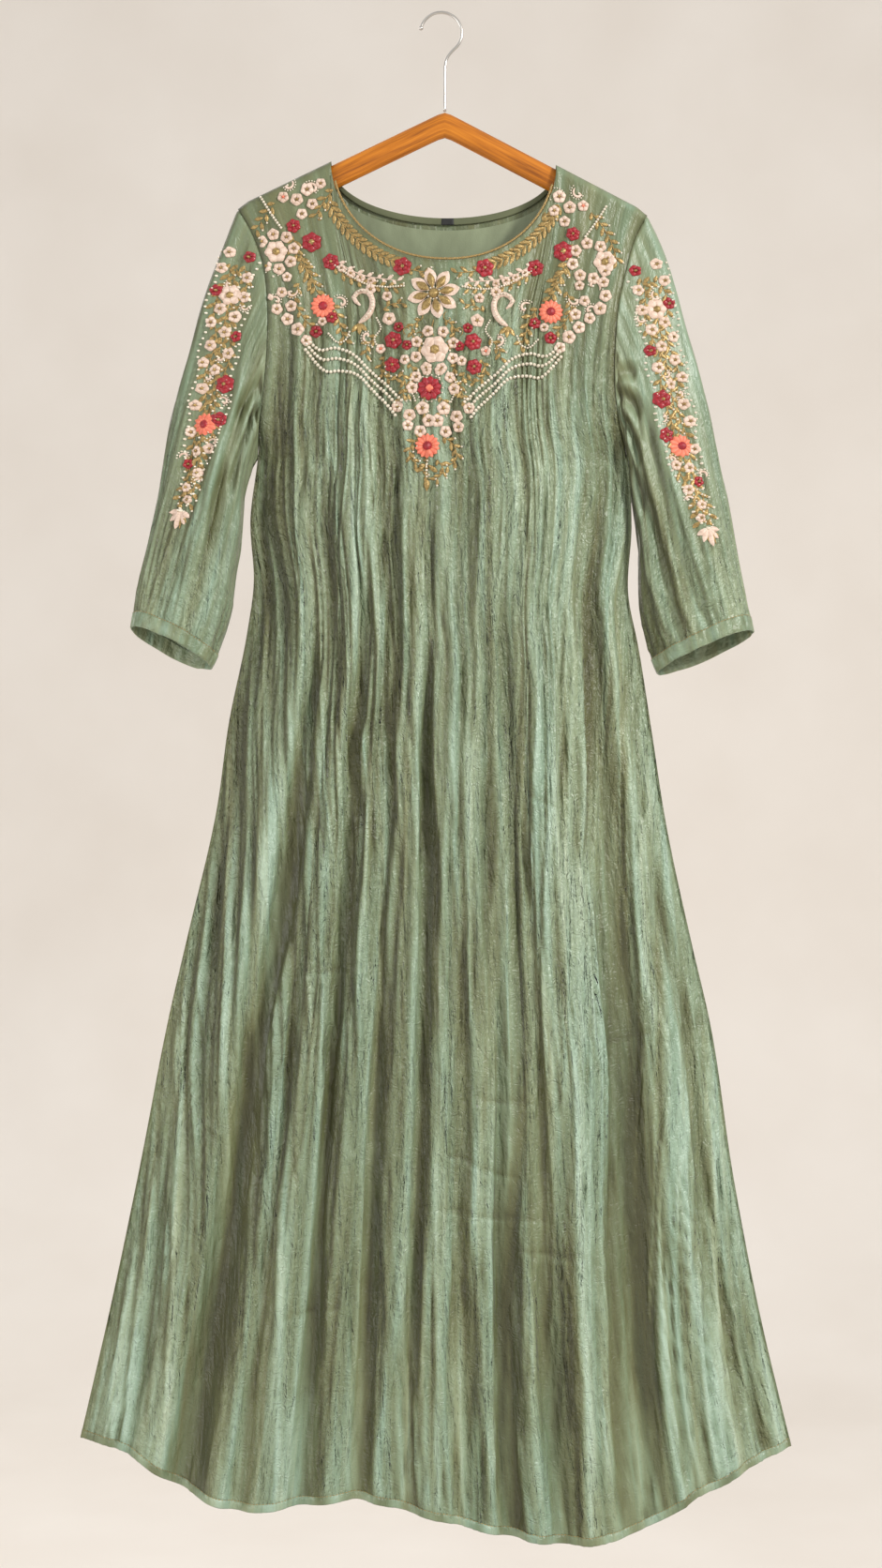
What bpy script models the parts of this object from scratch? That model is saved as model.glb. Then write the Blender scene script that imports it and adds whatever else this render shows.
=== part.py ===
"""A flared dress with an embroidered yoke, hanging on a wooden hanger.

Metres, +Z up, the front of the dress towards -Y. The origin is the inside top of the hanger's hook.
Every wall of cloth is worked out from one surface: a patch between the shoulders and neckline,
the two sides and the hem, with the depth that hanging cloth takes, and a table of its folds.
"""
import math

import bpy
import numpy as np
from mathutils import Vector
from mathutils.bvhtree import BVHTree

for old in list(bpy.data.objects):
    bpy.data.objects.remove(old, do_unlink=True)

# Cloth
WALL = 0.0012
LINING_WALL = 0.0010
SEAM_GAP = 0.0003
MOTIF_LIFT = 0.0009
MITRE_LIMIT = 1.4
# Degrees by which the sleeves' flowers face outwards
SLEEVE_MOTIF_TURN = 35.0

# Hanger
HOOK_WIRE_RADIUS = 0.0015
HOOK_BEND_RADIUS = 0.020
HOOK_TIP_ANGLE = 166.0
HOOK_TURN_ANGLE = -48.0
HOOK_BALL_RADIUS = 0.0023
BALL_STEPS = 5
HOOK_STEM_X = 0.0036
HOOK_NECK_Z = -0.056
HOOK_BEND_STEPS = 16
HOOK_NECK_STEPS = 6
APEX_X = 0.0036
APEX_Z = -0.0944
SLOPE_LEFT = 0.481
SLOPE_RIGHT = 0.5225
ARM_REACH_LEFT = -0.184
ARM_REACH_RIGHT = 0.186
ARM_HALF_DEPTH = 0.006
ARM_HEIGHT = 0.0239
# Half of the arm's section from the top down, as shares of the half depth and the height
ARM_SECTION = ((0.20, 0.0), (0.70, -0.12), (1.0, -0.36), (1.0, -0.70), (0.73, -0.91), (0.20, -1.0))
ARM_ROUNDING = 0.012
ARM_ROUNDED_SHARE = 0.86
ARM_END_SHARE = 0.62

# Shoulders and neck
SHOULDER_TIP_LEFT = -0.196
SHOULDER_TIP_RIGHT = 0.199
SHOULDER_DROOP = 0.0028
NECK_LEFT = -0.106
NECK_RIGHT = 0.111
NECK_CROWDING = 0.9
DRESS_RISE = 0.0047
DRESS_ROLL = 0.0106
LINING_RISE = 0.0026
LINING_ROLL = 0.0080
ROLL_REACH = 2.4
LEAN_HALF_WIDTH = 0.062
FACING_HEIGHT = 0.007
FACING_WALL = 0.0010
FACING_START = 4
PIPING_RADIUS = 0.00125
PIPING_LIFT = 0.0005
PIPING_START = 7
LABEL_WIDTH = 0.012
LABEL_HEIGHT = 0.0065
LABEL_WALL = 0.0006
LABEL_LIFT = 0.0004

# Length of the side from the shoulder tip to the hem, and the underarm's place on it
SIDE_DROP = 1.186
UNDERARM_DROP = 0.243
CUFF_BAND = 0.015
# How far down the armhole's curve, the top edge's spacing and the neckline's curve die away
ARMHOLE_SETTLED = 0.120
SPACING_FADE = 0.350
NECK_FADE = 0.120
# Direction of the cloth's outer side at the underarm point
UNDERARM_OUT = 0.42
UNDERARM_DOWN = 1.12

# Places down the side where a row of points lies, as drops from the shoulder tip
ARMHOLE_DROPS = (0.0, 0.002, 0.005, 0.010, 0.020, 0.038, 0.065, 0.100, 0.135, 0.170, 0.205, 0.228, 0.243)
SKIRT_DROPS = (0.300, 0.365, 0.430, 0.505, 0.590, 0.680, 0.775, 0.870, 0.965, 1.060, 1.130, 1.186)
LINING_DROPS = (0.0, 0.002, 0.005, 0.010, 0.030, 0.090, 0.170, 0.255, 0.365, 0.470, 0.660, 0.870, 1.090)
FRONT_COLUMNS = 52
BACK_COLUMNS = 40
SHOULDER_COLUMNS = 9
LINING_COLUMNS = 24
LINING_STRAP_COLUMNS = 3
SLEEVE_ROWS = 10


def table(names, rows):
    """A short table, as one array for each named column."""
    return {name: np.array([row[k] for row in rows], float) for k, name in enumerate(names)}


# The dress's side from shoulder tip through armhole and underarm to the hem
SIDE = table(
    ("drop", "left_x", "left_z", "right_x", "right_z", "front_edge", "back_edge"),
    (
        (0.000, -0.196, -0.187, 0.199, -0.199, 0.000, 0.000),
        (0.020, -0.184, -0.207, 0.188, -0.219, 0.001, 0.001),
        (0.055, -0.171, -0.242, 0.177, -0.254, 0.007, 0.004),
        (0.095, -0.166, -0.282, 0.169, -0.292, 0.015, 0.010),
        (0.131, -0.166, -0.318, 0.166, -0.327, 0.019, 0.014),
        (0.170, -0.169, -0.357, 0.166, -0.364, 0.019, 0.015),
        (0.207, -0.174, -0.394, 0.171, -0.398, 0.014, 0.011),
        (0.243, -0.177, -0.430, 0.180, -0.431, 0.000, 0.000),
        (0.300, -0.184, -0.487, 0.184, -0.492, 0.000, 0.000),
        (0.365, -0.181, -0.552, 0.181, -0.562, 0.000, 0.000),
        (0.409, -0.187, -0.596, 0.190, -0.608, 0.000, 0.000),
        (0.498, -0.205, -0.685, 0.204, -0.696, 0.000, 0.000),
        (0.577, -0.216, -0.764, 0.216, -0.774, 0.000, 0.000),
        (0.704, -0.245, -0.891, 0.243, -0.901, 0.000, 0.000),
        (0.768, -0.260, -0.955, 0.258, -0.965, 0.000, 0.000),
        (0.931, -0.292, -1.118, 0.283, -1.126, 0.000, 0.000),
        (1.060, -0.319, -1.247, 0.308, -1.255, 0.000, 0.000),
        (1.186, -0.348, -1.373, 0.338, -1.381, 0.000, 0.000),
    ),
)

# Depth of the cloth in front of and behind the hanger, from how far it lies below the shoulder line
DEPTH = table(
    ("below", "front", "back"),
    (
        (0.000, 0.000, 0.000),
        (0.020, 0.001, 0.000),
        (0.060, 0.004, 0.002),
        (0.120, 0.012, 0.005),
        (0.200, 0.027, 0.012),
        (0.300, 0.037, 0.017),
        (0.450, 0.043, 0.020),
        (0.700, 0.052, 0.024),
        (1.000, 0.063, 0.029),
        (1.350, 0.074, 0.033),
    ),
)

# Height of the hem across the dress, from the left corner (0) to the right corner (1)
HEM = table(
    ("across", "front_z", "back_z"),
    (
        (0.00, -1.373, -1.373),
        (0.07, -1.383, -1.386),
        (0.14, -1.412, -1.398),
        (0.22, -1.427, -1.410),
        (0.31, -1.422, -1.418),
        (0.39, -1.414, -1.421),
        (0.50, -1.430, -1.424),
        (0.60, -1.449, -1.428),
        (0.69, -1.457, -1.430),
        (0.78, -1.451, -1.427),
        (0.86, -1.422, -1.417),
        (0.93, -1.400, -1.401),
        (1.00, -1.381, -1.381),
    ),
)

# Troughs between the folds: place across the cloth (-1 to 1) where each starts and at the hem
FOLD_COLUMNS = ("start_across", "hem_across", "half_width", "depth", "start_drop")
FRONT_FOLDS = (
    (-0.90, -0.87, 0.045, 0.011, 0.450),
    (-0.62, -0.71, 0.060, 0.027, 0.330),
    (-0.52, -0.55, 0.035, 0.009, 0.300),
    (-0.36, -0.37, 0.045, 0.015, 0.240),
    (-0.20, -0.21, 0.040, 0.013, 0.200),
    (-0.03, -0.08, 0.040, 0.010, 0.230),
    (0.10, 0.07, 0.035, 0.008, 0.420),
    (0.25, 0.20, 0.050, 0.015, 0.360),
    (0.36, 0.34, 0.045, 0.012, 0.200),
    (0.84, 0.57, 0.080, 0.022, 0.220),
    (0.74, 0.74, 0.040, 0.010, 0.560),
    (0.91, 0.88, 0.045, 0.010, 0.500),
)
BACK_FOLDS = (
    (-0.80, -0.84, 0.055, 0.009, 0.400),
    (-0.55, -0.60, 0.060, 0.014, 0.300),
    (-0.30, -0.33, 0.055, 0.011, 0.220),
    (-0.04, -0.05, 0.060, 0.013, 0.260),
    (0.22, 0.24, 0.055, 0.010, 0.220),
    (0.47, 0.52, 0.060, 0.014, 0.320),
    (0.76, 0.80, 0.055, 0.010, 0.420),
)
LINING_FOLDS = (
    (-0.45, -0.48, 0.11, 0.006, 0.350),
    (0.00, 0.02, 0.12, 0.007, 0.400),
    (0.48, 0.50, 0.11, 0.006, 0.350),
)

# Sleeves: angles run from the shoulder (0) by the front to the underarm (180) and the back
SLEEVES = {
    "sleeve_left": {
        "side": "left",
        "cuff_centre": (-0.2605, 0.002, -0.6125),
        "cuff_out": (-0.0385, 0.0, 0.0185),
        "cuff_front": (0.0, -0.031, 0.009),
        "start_mean": (-0.110, 0.0, -0.205),
        "start_swing": (-0.045, 0.0, -0.125),
        "end_mean": (-0.095, 0.0, -0.285),
        "end_swing": (0.010, 0.0, -0.115),
        "folds": (
            (118.0, 128.0, 14.0, 0.005, 0.30),
            (62.0, 74.0, 12.0, 0.004, 0.45),
            (205.0, 215.0, 16.0, 0.005, 0.35),
            (285.0, 300.0, 16.0, 0.004, 0.30),
        ),
    },
    "sleeve_right": {
        "side": "right",
        "cuff_centre": (0.2555, 0.002, -0.6165),
        "cuff_out": (0.0465, 0.0, 0.0195),
        "cuff_front": (0.0, -0.032, 0.008),
        "start_mean": (0.107, 0.0, -0.205),
        "start_swing": (0.045, 0.0, -0.125),
        "end_mean": (0.090, 0.0, -0.290),
        "end_swing": (-0.005, 0.0, -0.115),
        "folds": (
            (128.0, 116.0, 13.0, 0.006, 0.25),
            (84.0, 92.0, 12.0, 0.005, 0.40),
            (150.0, 152.0, 10.0, 0.004, 0.35),
            (225.0, 235.0, 16.0, 0.005, 0.35),
            (290.0, 300.0, 16.0, 0.004, 0.30),
        ),
    },
}
SLEEVE_FOLD_COLUMNS = ("start_angle", "end_angle", "half_width", "depth", "start_share")

# Raised flowers of the yoke and sleeves: place in the front view, size and kind
MOTIF_COLUMNS = ("name", "x", "z", "radius", "height", "petals", "kind")
MOTIFS = (
    ("star_flower", -0.007, -0.2765, 0.0250, 0.0040, 8, "cream"),
    ("coral_flower_centre", -0.013, -0.423, 0.0115, 0.0036, 6, "coral"),
    ("coral_flower_left", -0.113, -0.286, 0.0115, 0.0036, 6, "coral"),
    ("coral_flower_right", 0.105, -0.292, 0.0115, 0.0036, 6, "coral"),
    ("red_flower_centre", -0.011, -0.368, 0.0110, 0.0038, 6, "crimson"),
    ("red_flower_left", -0.124, -0.224, 0.0100, 0.0034, 5, "crimson"),
    ("red_flower_right", 0.117, -0.233, 0.0100, 0.0034, 5, "crimson"),
    ("cream_flower_left", -0.158, -0.233, 0.0120, 0.0034, 5, "cream"),
    ("cream_flower_right", 0.157, -0.243, 0.0120, 0.0034, 5, "cream"),
    ("cream_flower_centre", -0.006, -0.331, 0.0140, 0.0034, 6, "cream"),
)
SLEEVE_MOTIFS = (
    ("sleeve_left_cream_flower", -0.1930, -0.274, 0.0100, 0.0034, 6, "cream"),
    ("sleeve_left_coral_flower", -0.2120, -0.399, 0.0100, 0.0034, 6, "coral"),
    ("sleeve_right_cream_flower", 0.1960, -0.288, 0.0100, 0.0034, 6, "cream"),
    ("sleeve_right_coral_flower", 0.2150, -0.420, 0.0100, 0.0034, 6, "coral"),
)
# A flower's section from its middle over the rim and back under, as shares of radius and height
FLOWER_PROFILE = ((0.0, 0.8), (0.35, 1.0), (0.72, 0.85), (1.0, 0.35), (1.0, 0.0), (0.55, 0.0))
PETAL_NOTCH = 0.16
RAY_REACH = 0.5

# Colour, roughness and metallic value of each finish
FINISHES = {
    "silk": ((0.22, 0.26, 0.17), 0.45, 0.0),
    "lining": ((0.26, 0.31, 0.22), 0.60, 0.0),
    "facing": ((0.10, 0.12, 0.06), 0.60, 0.0),
    "piping": ((0.35, 0.25, 0.13), 0.45, 0.2),
    "label": ((0.01, 0.01, 0.01), 0.70, 0.0),
    "wood": ((0.50, 0.25, 0.07), 0.40, 0.0),
    "steel": ((0.60, 0.60, 0.60), 0.30, 1.0),
    "cream": ((0.62, 0.52, 0.40), 0.35, 0.0),
    "coral": ((0.65, 0.16, 0.09), 0.50, 0.0),
    "crimson": ((0.25, 0.01, 0.02), 0.50, 0.0),
}


def smooth_curve(at, xs, ys):
    """Smooth values through the points of a table column."""
    slopes = np.gradient(ys, xs)
    at = np.clip(at, xs[0], xs[-1])
    k = np.clip(np.searchsorted(xs, at, side="right") - 1, 0, len(xs) - 2)
    width = xs[k + 1] - xs[k]
    t = (at - xs[k]) / width
    value = (2 * t**3 - 3 * t**2 + 1) * ys[k] + (-2 * t**3 + 3 * t**2) * ys[k + 1]
    return value + ((t**3 - 2 * t**2 + t) * slopes[k] + (t**3 - t**2) * slopes[k + 1]) * width


def ease(low, high, at):
    """0 below low, 1 above high, smooth between."""
    t = np.clip((at - low) / (high - low), 0.0, 1.0)
    return t * t * (3.0 - 2.0 * t)


def ridge_height(x, rise):
    """Height of the line along the shoulders, a given rise above the hanger's top edge."""
    slope = np.where(x < APEX_X, SLOPE_LEFT, SLOPE_RIGHT)
    past = np.maximum(x - (ARM_REACH_RIGHT + 0.002), (ARM_REACH_LEFT - 0.002) - x)
    droop = SHOULDER_DROOP * np.clip(past / 0.010, 0.0, 1.0)
    return APEX_Z + rise - slope * np.abs(x - APEX_X) - droop


def roll_over(below, radius):
    """Depth of cloth that rolls over the hanger's arm, from how far it lies below the ridge."""
    h = np.clip(below, 0.0, radius)
    return np.sqrt(np.maximum(2.0 * radius * h - h * h, 0.0))


# What differs between the dress's two panels and between the lining's
LAYERS = {
    "front": {"sign": -1.0, "neck": 0.100, "lean": 0.009, "folds": FRONT_FOLDS},
    "back": {"sign": 1.0, "neck": 0.050, "lean": 0.002, "folds": BACK_FOLDS},
}
OUTER = {
    "rise": DRESS_RISE,
    "roll": DRESS_ROLL,
    "tips": (SHOULDER_TIP_LEFT, SHOULDER_TIP_RIGHT),
    "necks": (NECK_LEFT, NECK_RIGHT),
    "neck_extra": {"front": 0.0, "back": 0.0},
    "hem_lift": 0.0,
    "shoulder_columns": SHOULDER_COLUMNS,
    "fullness": 2.4,
}
LINING_STRAP = 0.046
LINING_NECK_STEP = 0.0065
LINING = {
    "rise": LINING_RISE,
    "roll": LINING_ROLL,
    "tips": (SHOULDER_TIP_LEFT + LINING_STRAP, SHOULDER_TIP_RIGHT - LINING_STRAP),
    "necks": (NECK_LEFT - LINING_NECK_STEP, NECK_RIGHT + LINING_NECK_STEP),
    "neck_extra": {"front": 0.004, "back": FACING_HEIGHT + 0.0005},
    "hem_lift": 0.095,
    "shoulder_columns": LINING_STRAP_COLUMNS,
    "fullness": 3.4,
}
# How far the lining's side lies inside the dress's side, and how much of its depth it takes
LINING_FIT = table(
    ("below", "side_inset", "depth_share", "depth_inset"),
    (
        (0.000, LINING_STRAP, 1.00, 0.0000),
        (0.030, 0.039, 0.95, 0.0000),
        (0.090, 0.028, 0.66, 0.0005),
        (0.170, 0.019, 0.60, 0.0010),
        (0.255, 0.016, 0.60, 0.0015),
        (0.420, 0.016, 0.60, 0.0020),
        (0.800, 0.014, 0.50, 0.0030),
        (1.350, 0.018, 0.42, 0.0020),
    ),
)


def top_edge(panel, layer, columns):
    """Points along one shoulder, the neckline and the other shoulder."""
    side = layer["shoulder_columns"]
    left_tip, right_tip = layer["tips"]
    left_neck, right_neck = layer["necks"]
    share = np.linspace(0.0, 1.0, side + 1)
    left_x = left_tip + (left_neck - left_tip) * share
    right_x = right_neck + (right_tip - right_neck) * share
    left_z = ridge_height(left_x, layer["rise"])
    right_z = ridge_height(right_x, layer["rise"])
    angle = np.linspace(0.0, math.pi, 721)
    across = (1.0 - np.cos(angle)) / 2.0
    depth = LAYERS[panel]["neck"] + layer["neck_extra"][panel]
    arc_x = left_neck + (right_neck - left_neck) * across
    arc_z = left_z[-1] + (right_z[0] - left_z[-1]) * across - depth * np.sin(angle)
    length = np.concatenate(([0.0], np.cumsum(np.hypot(np.diff(arc_x), np.diff(arc_z)))))
    w = np.linspace(0.0, 1.0, columns - 2 * side + 1)
    place = length[-1] * (w - NECK_CROWDING * np.sin(2.0 * math.pi * w) / (2.0 * math.pi))
    neck_x = np.interp(place, length, arc_x)
    neck_z = np.interp(place, length, arc_z)
    x = np.concatenate((left_x, neck_x[1:-1], right_x))
    z = np.concatenate((left_z, neck_z[1:-1], right_z))
    return x, z


def fold_depth(folds, s, drop, bottom):
    """Depth of all the troughs at a place across and down the cloth."""
    total = np.zeros_like(s)
    for row in folds:
        fold = dict(zip(FOLD_COLUMNS, row))
        run = np.clip((drop - fold["start_drop"]) / (bottom - fold["start_drop"]), 0.0, 1.0)
        middle = fold["start_across"] + (fold["hem_across"] - fold["start_across"]) * run
        reach = (s - middle) / fold["half_width"]
        total = total + fold["depth"] * run**0.75 * np.exp(-reach * reach)
    return total * (1.0 - np.abs(s) ** 8)


def panel_points(panel, layer, columns, drops):
    """Grid of points on a panel: rows from the top edge to the hem, columns from left to right."""
    info = LAYERS[panel]
    drops = np.array(drops)
    lining = layer is LINING
    bottom = drops[-1]
    u = np.linspace(0.0, 1.0, columns + 1)[None, :]
    v = (drops / bottom)[:, None]
    top_x, top_z = top_edge(panel, layer, columns)
    left_x = smooth_curve(drops, SIDE["drop"], SIDE["left_x"])
    right_x = smooth_curve(drops, SIDE["drop"], SIDE["right_x"])
    left_z = smooth_curve(drops, SIDE["drop"], SIDE["left_z"])
    right_z = smooth_curve(drops, SIDE["drop"], SIDE["right_z"])
    if lining:
        inset = smooth_curve(drops, LINING_FIT["below"], LINING_FIT["side_inset"])
        left_x = left_x + inset
        right_x = right_x - inset
    fade = np.clip(1.0 - drops / UNDERARM_DROP, 0.0, 1.0)
    left_z = left_z + (top_z[0] - left_z[0]) * fade
    right_z = right_z + (top_z[-1] - right_z[0]) * fade
    hem_z = smooth_curve(u[0], HEM["across"], HEM[panel + "_z"]) + layer["hem_lift"]
    hem_z = hem_z + (left_z[-1] - hem_z[0]) * (1.0 - u[0]) + (right_z[-1] - hem_z[-1]) * u[0]

    # Across: the top edge's spacing eases into the hem's even spacing; the armhole's curve near
    # the shoulder tip moves only the cloth beside it
    settle = ease(0.0, ARMHOLE_SETTLED, drops)
    left_base = np.where(drops < ARMHOLE_SETTLED, left_x[0] + (left_x - left_x[0]) * settle, left_x)
    right_base = np.where(drops < ARMHOLE_SETTLED, right_x[0] + (right_x - right_x[0]) * settle, right_x)
    top_share = (top_x - top_x[0]) / (top_x[-1] - top_x[0])
    keep = np.exp(-drops[:, None] / SPACING_FADE)
    share = top_share[None, :] * keep + u * (1.0 - keep)
    x = left_base[:, None] + (right_base - left_base)[:, None] * share
    x = x + (left_x - left_base)[:, None] * (1.0 - u) ** 10 + (right_x - right_base)[:, None] * u**10
    # Down: the curve of the neck fades below it, and the curve of the hem grows towards it
    top_curve = top_z - (top_z[0] + (top_z[-1] - top_z[0]) * u[0])
    hem_curve = hem_z - (hem_z[0] + (hem_z[-1] - hem_z[0]) * u[0])
    z = left_z[:, None] * (1.0 - u) + right_z[:, None] * u + hem_curve[None, :] * v
    z = z + top_curve[None, :] * np.exp(-drops[:, None] / NECK_FADE)
    s = 2.0 * u - 1.0 + 0.0 * v
    drop = drops[:, None] + 0.0 * u
    below = ridge_height(x, layer["rise"]) - z
    side_left = np.interp(-z, -SIDE["left_z"], SIDE["left_x"])
    side_right = np.interp(-z, -SIDE["right_z"], SIDE["right_x"])
    by_width = np.clip(x / np.where(x < 0.0, -side_left, side_right), -1.0, 1.0)
    across = by_width + (s - by_width) * ease(0.200, 0.500, below)
    section = np.maximum(1.0 - np.abs(across) ** layer["fullness"], 0.0) ** 0.75 * (1.0 - np.abs(s) ** 20)
    roll = roll_over(below, layer["roll"])
    roll_share = 1.0 - ease(0.040, 0.200, below)
    edge = np.maximum(smooth_curve(drop, SIDE["drop"], SIDE[panel + "_edge"]), 0.0)
    edge = np.where(drop < UNDERARM_DROP, edge, 0.0)
    middle = smooth_curve(below, DEPTH["below"], DEPTH[panel])
    lean = info["lean"] * np.exp(-((x / LEAN_HALF_WIDTH) ** 2)) * (1.0 - ease(0.120, 0.450, below))
    lean = lean * roll / layer["roll"]
    depth = edge * (1.0 - section) + middle * section + lean
    if lining:
        fit = smooth_curve(below, LINING_FIT["below"], LINING_FIT["depth_share"])
        inset = smooth_curve(below, LINING_FIT["below"], LINING_FIT["depth_inset"])
        depth = depth * fit - inset * section
        folds = LINING_FOLDS
    else:
        folds = info["folds"]
    depth = depth + roll * roll_share - fold_depth(folds, s, drop, bottom)
    y = info["sign"] * depth
    return np.stack((x, y, z), axis=-1)


def sleeve_points(sleeve, loop, rows, part):
    """Grid of points on a sleeve or its cuff band: rows from the armhole down, columns round the arm."""
    start = loop
    centre = np.array(sleeve["cuff_centre"])
    outward = np.array(sleeve["cuff_out"])
    forward = np.array(sleeve["cuff_front"])
    step = np.linalg.norm(np.roll(loop, -1, axis=0) - loop, axis=1)
    half = len(loop) // 2
    front_share = np.concatenate(([0.0], np.cumsum(step[:half]))) / step[:half].sum()
    back_share = np.concatenate(([0.0], np.cumsum(step[half:])))[:-1] / step[half:].sum()
    angle = math.pi * np.concatenate((front_share[:-1], 1.0 + back_share))
    c = np.cos(angle)[:, None]
    s = np.sin(angle)[:, None]
    end = centre + outward * c + forward * s
    start_way = np.array(sleeve["start_mean"]) + np.array(sleeve["start_swing"]) * c
    end_way = np.array(sleeve["end_mean"]) + np.array(sleeve["end_swing"]) * c
    length = np.linalg.norm(end - start, axis=1)
    band_share = 1.0 - CUFF_BAND / length
    grid = []
    for k in range(rows + 1):
        share = k / rows
        t = band_share * share if part == "sleeve" else band_share + (1.0 - band_share) * share
        t = t[:, None]
        point = (2 * t**3 - 3 * t**2 + 1) * start + (t**3 - 2 * t**2 + t) * start_way
        point = point + (-2 * t**3 + 3 * t**2) * end + (t**3 - t**2) * end_way
        middle = point.mean(axis=0)
        inward = middle - point
        inward = inward / np.linalg.norm(inward, axis=1)[:, None]
        depth = np.zeros(len(loop))
        for row in sleeve["folds"]:
            fold = dict(zip(SLEEVE_FOLD_COLUMNS, row))
            run = np.clip((t[:, 0] - fold["start_share"]) / (1.0 - fold["start_share"]), 0.0, 1.0)
            place = np.radians(fold["start_angle"] + (fold["end_angle"] - fold["start_angle"]) * run)
            reach = (angle - place) / math.radians(fold["half_width"])
            bell = np.sin(math.pi * np.minimum(run * 0.75, 1.0))
            depth = depth + fold["depth"] * bell * np.exp(-reach * reach)
        grid.append(point + inward * depth[:, None])
    return np.array(grid)


def cell_triangles(rows, columns, closed):
    """Two triangles for each cell of a grid, as (row, column) corners, wound outwards for the front."""
    cells = []
    for j in range(rows):
        for i in range(columns):
            n = (i + 1) % columns if closed else i + 1
            cells.append(((j, i), (j + 1, i), (j + 1, n)))
            cells.append(((j, i), (j + 1, n), (j, n)))
    return cells


def roll_directions(name, grid, layer, sign):
    """Offset directions of the points that roll over the hanger's arm, clear of the armholes."""
    chosen = []
    below = ridge_height(grid[:, :, 0], layer["rise"]) - grid[:, :, 2]
    for j in range(grid.shape[0]):
        for i in range(2, grid.shape[1] - 2):
            if below[j, i] < layer["roll"] * ROLL_REACH:
                level = max(1.0 - max(below[j, i], 0.0) / layer["roll"], 0.0)
                slope = SLOPE_LEFT if grid[j, i, 0] < APEX_X else SLOPE_RIGHT
                tilt = math.copysign(slope, grid[j, i, 0] - APEX_X) * level
                direction = np.array((tilt, sign * math.sqrt(1.0 - level * level), level))
                chosen.append(((name, j, i), direction / np.linalg.norm(direction)))
    return chosen


def corner_normals(pieces, welds, chosen=()):
    """Offset direction at each point, shared by the pieces that meet at a seam.

    pieces: name -> (grid, closed, flip). welds: lists of (name, row, column) that are one point.
    chosen: (key, direction) for points where the faces round them give no clear direction.
    """
    shared = {}
    for k, group in enumerate(welds):
        for key in group:
            shared[key] = ("weld", k)
    gathered = {}
    for name, (grid, closed, flip) in pieces.items():
        rows, columns = grid.shape[0] - 1, grid.shape[1] - (0 if closed else 1)
        for triangle in cell_triangles(rows, columns, closed):
            a, b, c = (grid[corner] for corner in triangle)
            normal = np.cross(b - a, c - a)
            area = np.linalg.norm(normal)
            if area < 1e-14:
                continue
            unit = normal / area * (-1.0 if flip else 1.0)
            points = (a, b, c)
            for k, corner in enumerate(triangle):
                key = (name,) + corner
                one = points[(k + 1) % 3] - points[k]
                two = points[(k + 2) % 3] - points[k]
                cosine = one.dot(two) / max(np.linalg.norm(one) * np.linalg.norm(two), 1e-12)
                weight = math.acos(max(-1.0, min(1.0, cosine)))
                gathered.setdefault(shared.get(key, key), []).append((unit, weight))
    directions = {}
    for key, faces in gathered.items():
        total = sum(unit * weight for unit, weight in faces)
        total = total / max(np.linalg.norm(total), 1e-9)
        slant = min(max(unit.dot(total), 1.0 / MITRE_LIMIT) for unit, _ in faces)
        mean = sum(unit.dot(total) * weight for unit, weight in faces) / sum(w for _, w in faces)
        directions[key] = total / max((slant + mean) / 2.0, 1.0 / MITRE_LIMIT)
    for key, direction in chosen:
        directions[shared.get(key, key)] = np.array(direction)
    result = {}
    for name, (grid, _, _) in pieces.items():
        field = np.zeros_like(grid)
        for j in range(grid.shape[0]):
            for i in range(grid.shape[1]):
                key = (name, j, i)
                field[j, i] = directions[shared.get(key, key)]
        result[name] = field
    return result


def part_at_seam(grid, normals, path, inner_path, closed=False):
    """Shift the points of a seam into their own piece by half the seam gap."""
    shift = np.zeros_like(grid)
    count = len(path)
    for k in range(count):
        before = path[(k - 1) % count] if closed or k > 0 else path[k]
        after = path[(k + 1) % count] if closed or k < count - 1 else path[k]
        along = grid[after] - grid[before]
        way = np.cross(along, normals[path[k]])
        way = way / max(np.linalg.norm(way), 1e-12)
        if way.dot(grid[inner_path[k]] - grid[path[k]]) < 0.0:
            way = -way
        shift[path[k]] = shift[path[k]] + way * SEAM_GAP / 2.0
    return shift


def make_object(name, points, faces, finish, smooth=True):
    """Mesh object of triangles, with its own material."""
    triangles = []
    for face in faces:
        for k in range(1, len(face) - 1):
            triangles.append((face[0], face[k], face[k + 1]))
    mesh = bpy.data.meshes.new(name)
    mesh.from_pydata([tuple(p) for p in points], [], triangles)
    mesh.update()
    if smooth:
        mesh.shade_smooth()
        mesh.set_sharp_from_angle(angle=math.radians(40))
    colour, roughness, metallic = FINISHES[finish]
    material = bpy.data.materials.new(name + "_" + finish)
    material.use_nodes = True
    shader = material.node_tree.nodes["Principled BSDF"]
    shader.inputs["Base Color"].default_value = (*colour, 1.0)
    shader.inputs["Roughness"].default_value = roughness
    shader.inputs["Metallic"].default_value = metallic
    mesh.materials.append(material)
    item = bpy.data.objects.new(name, mesh)
    bpy.context.scene.collection.objects.link(item)


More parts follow.
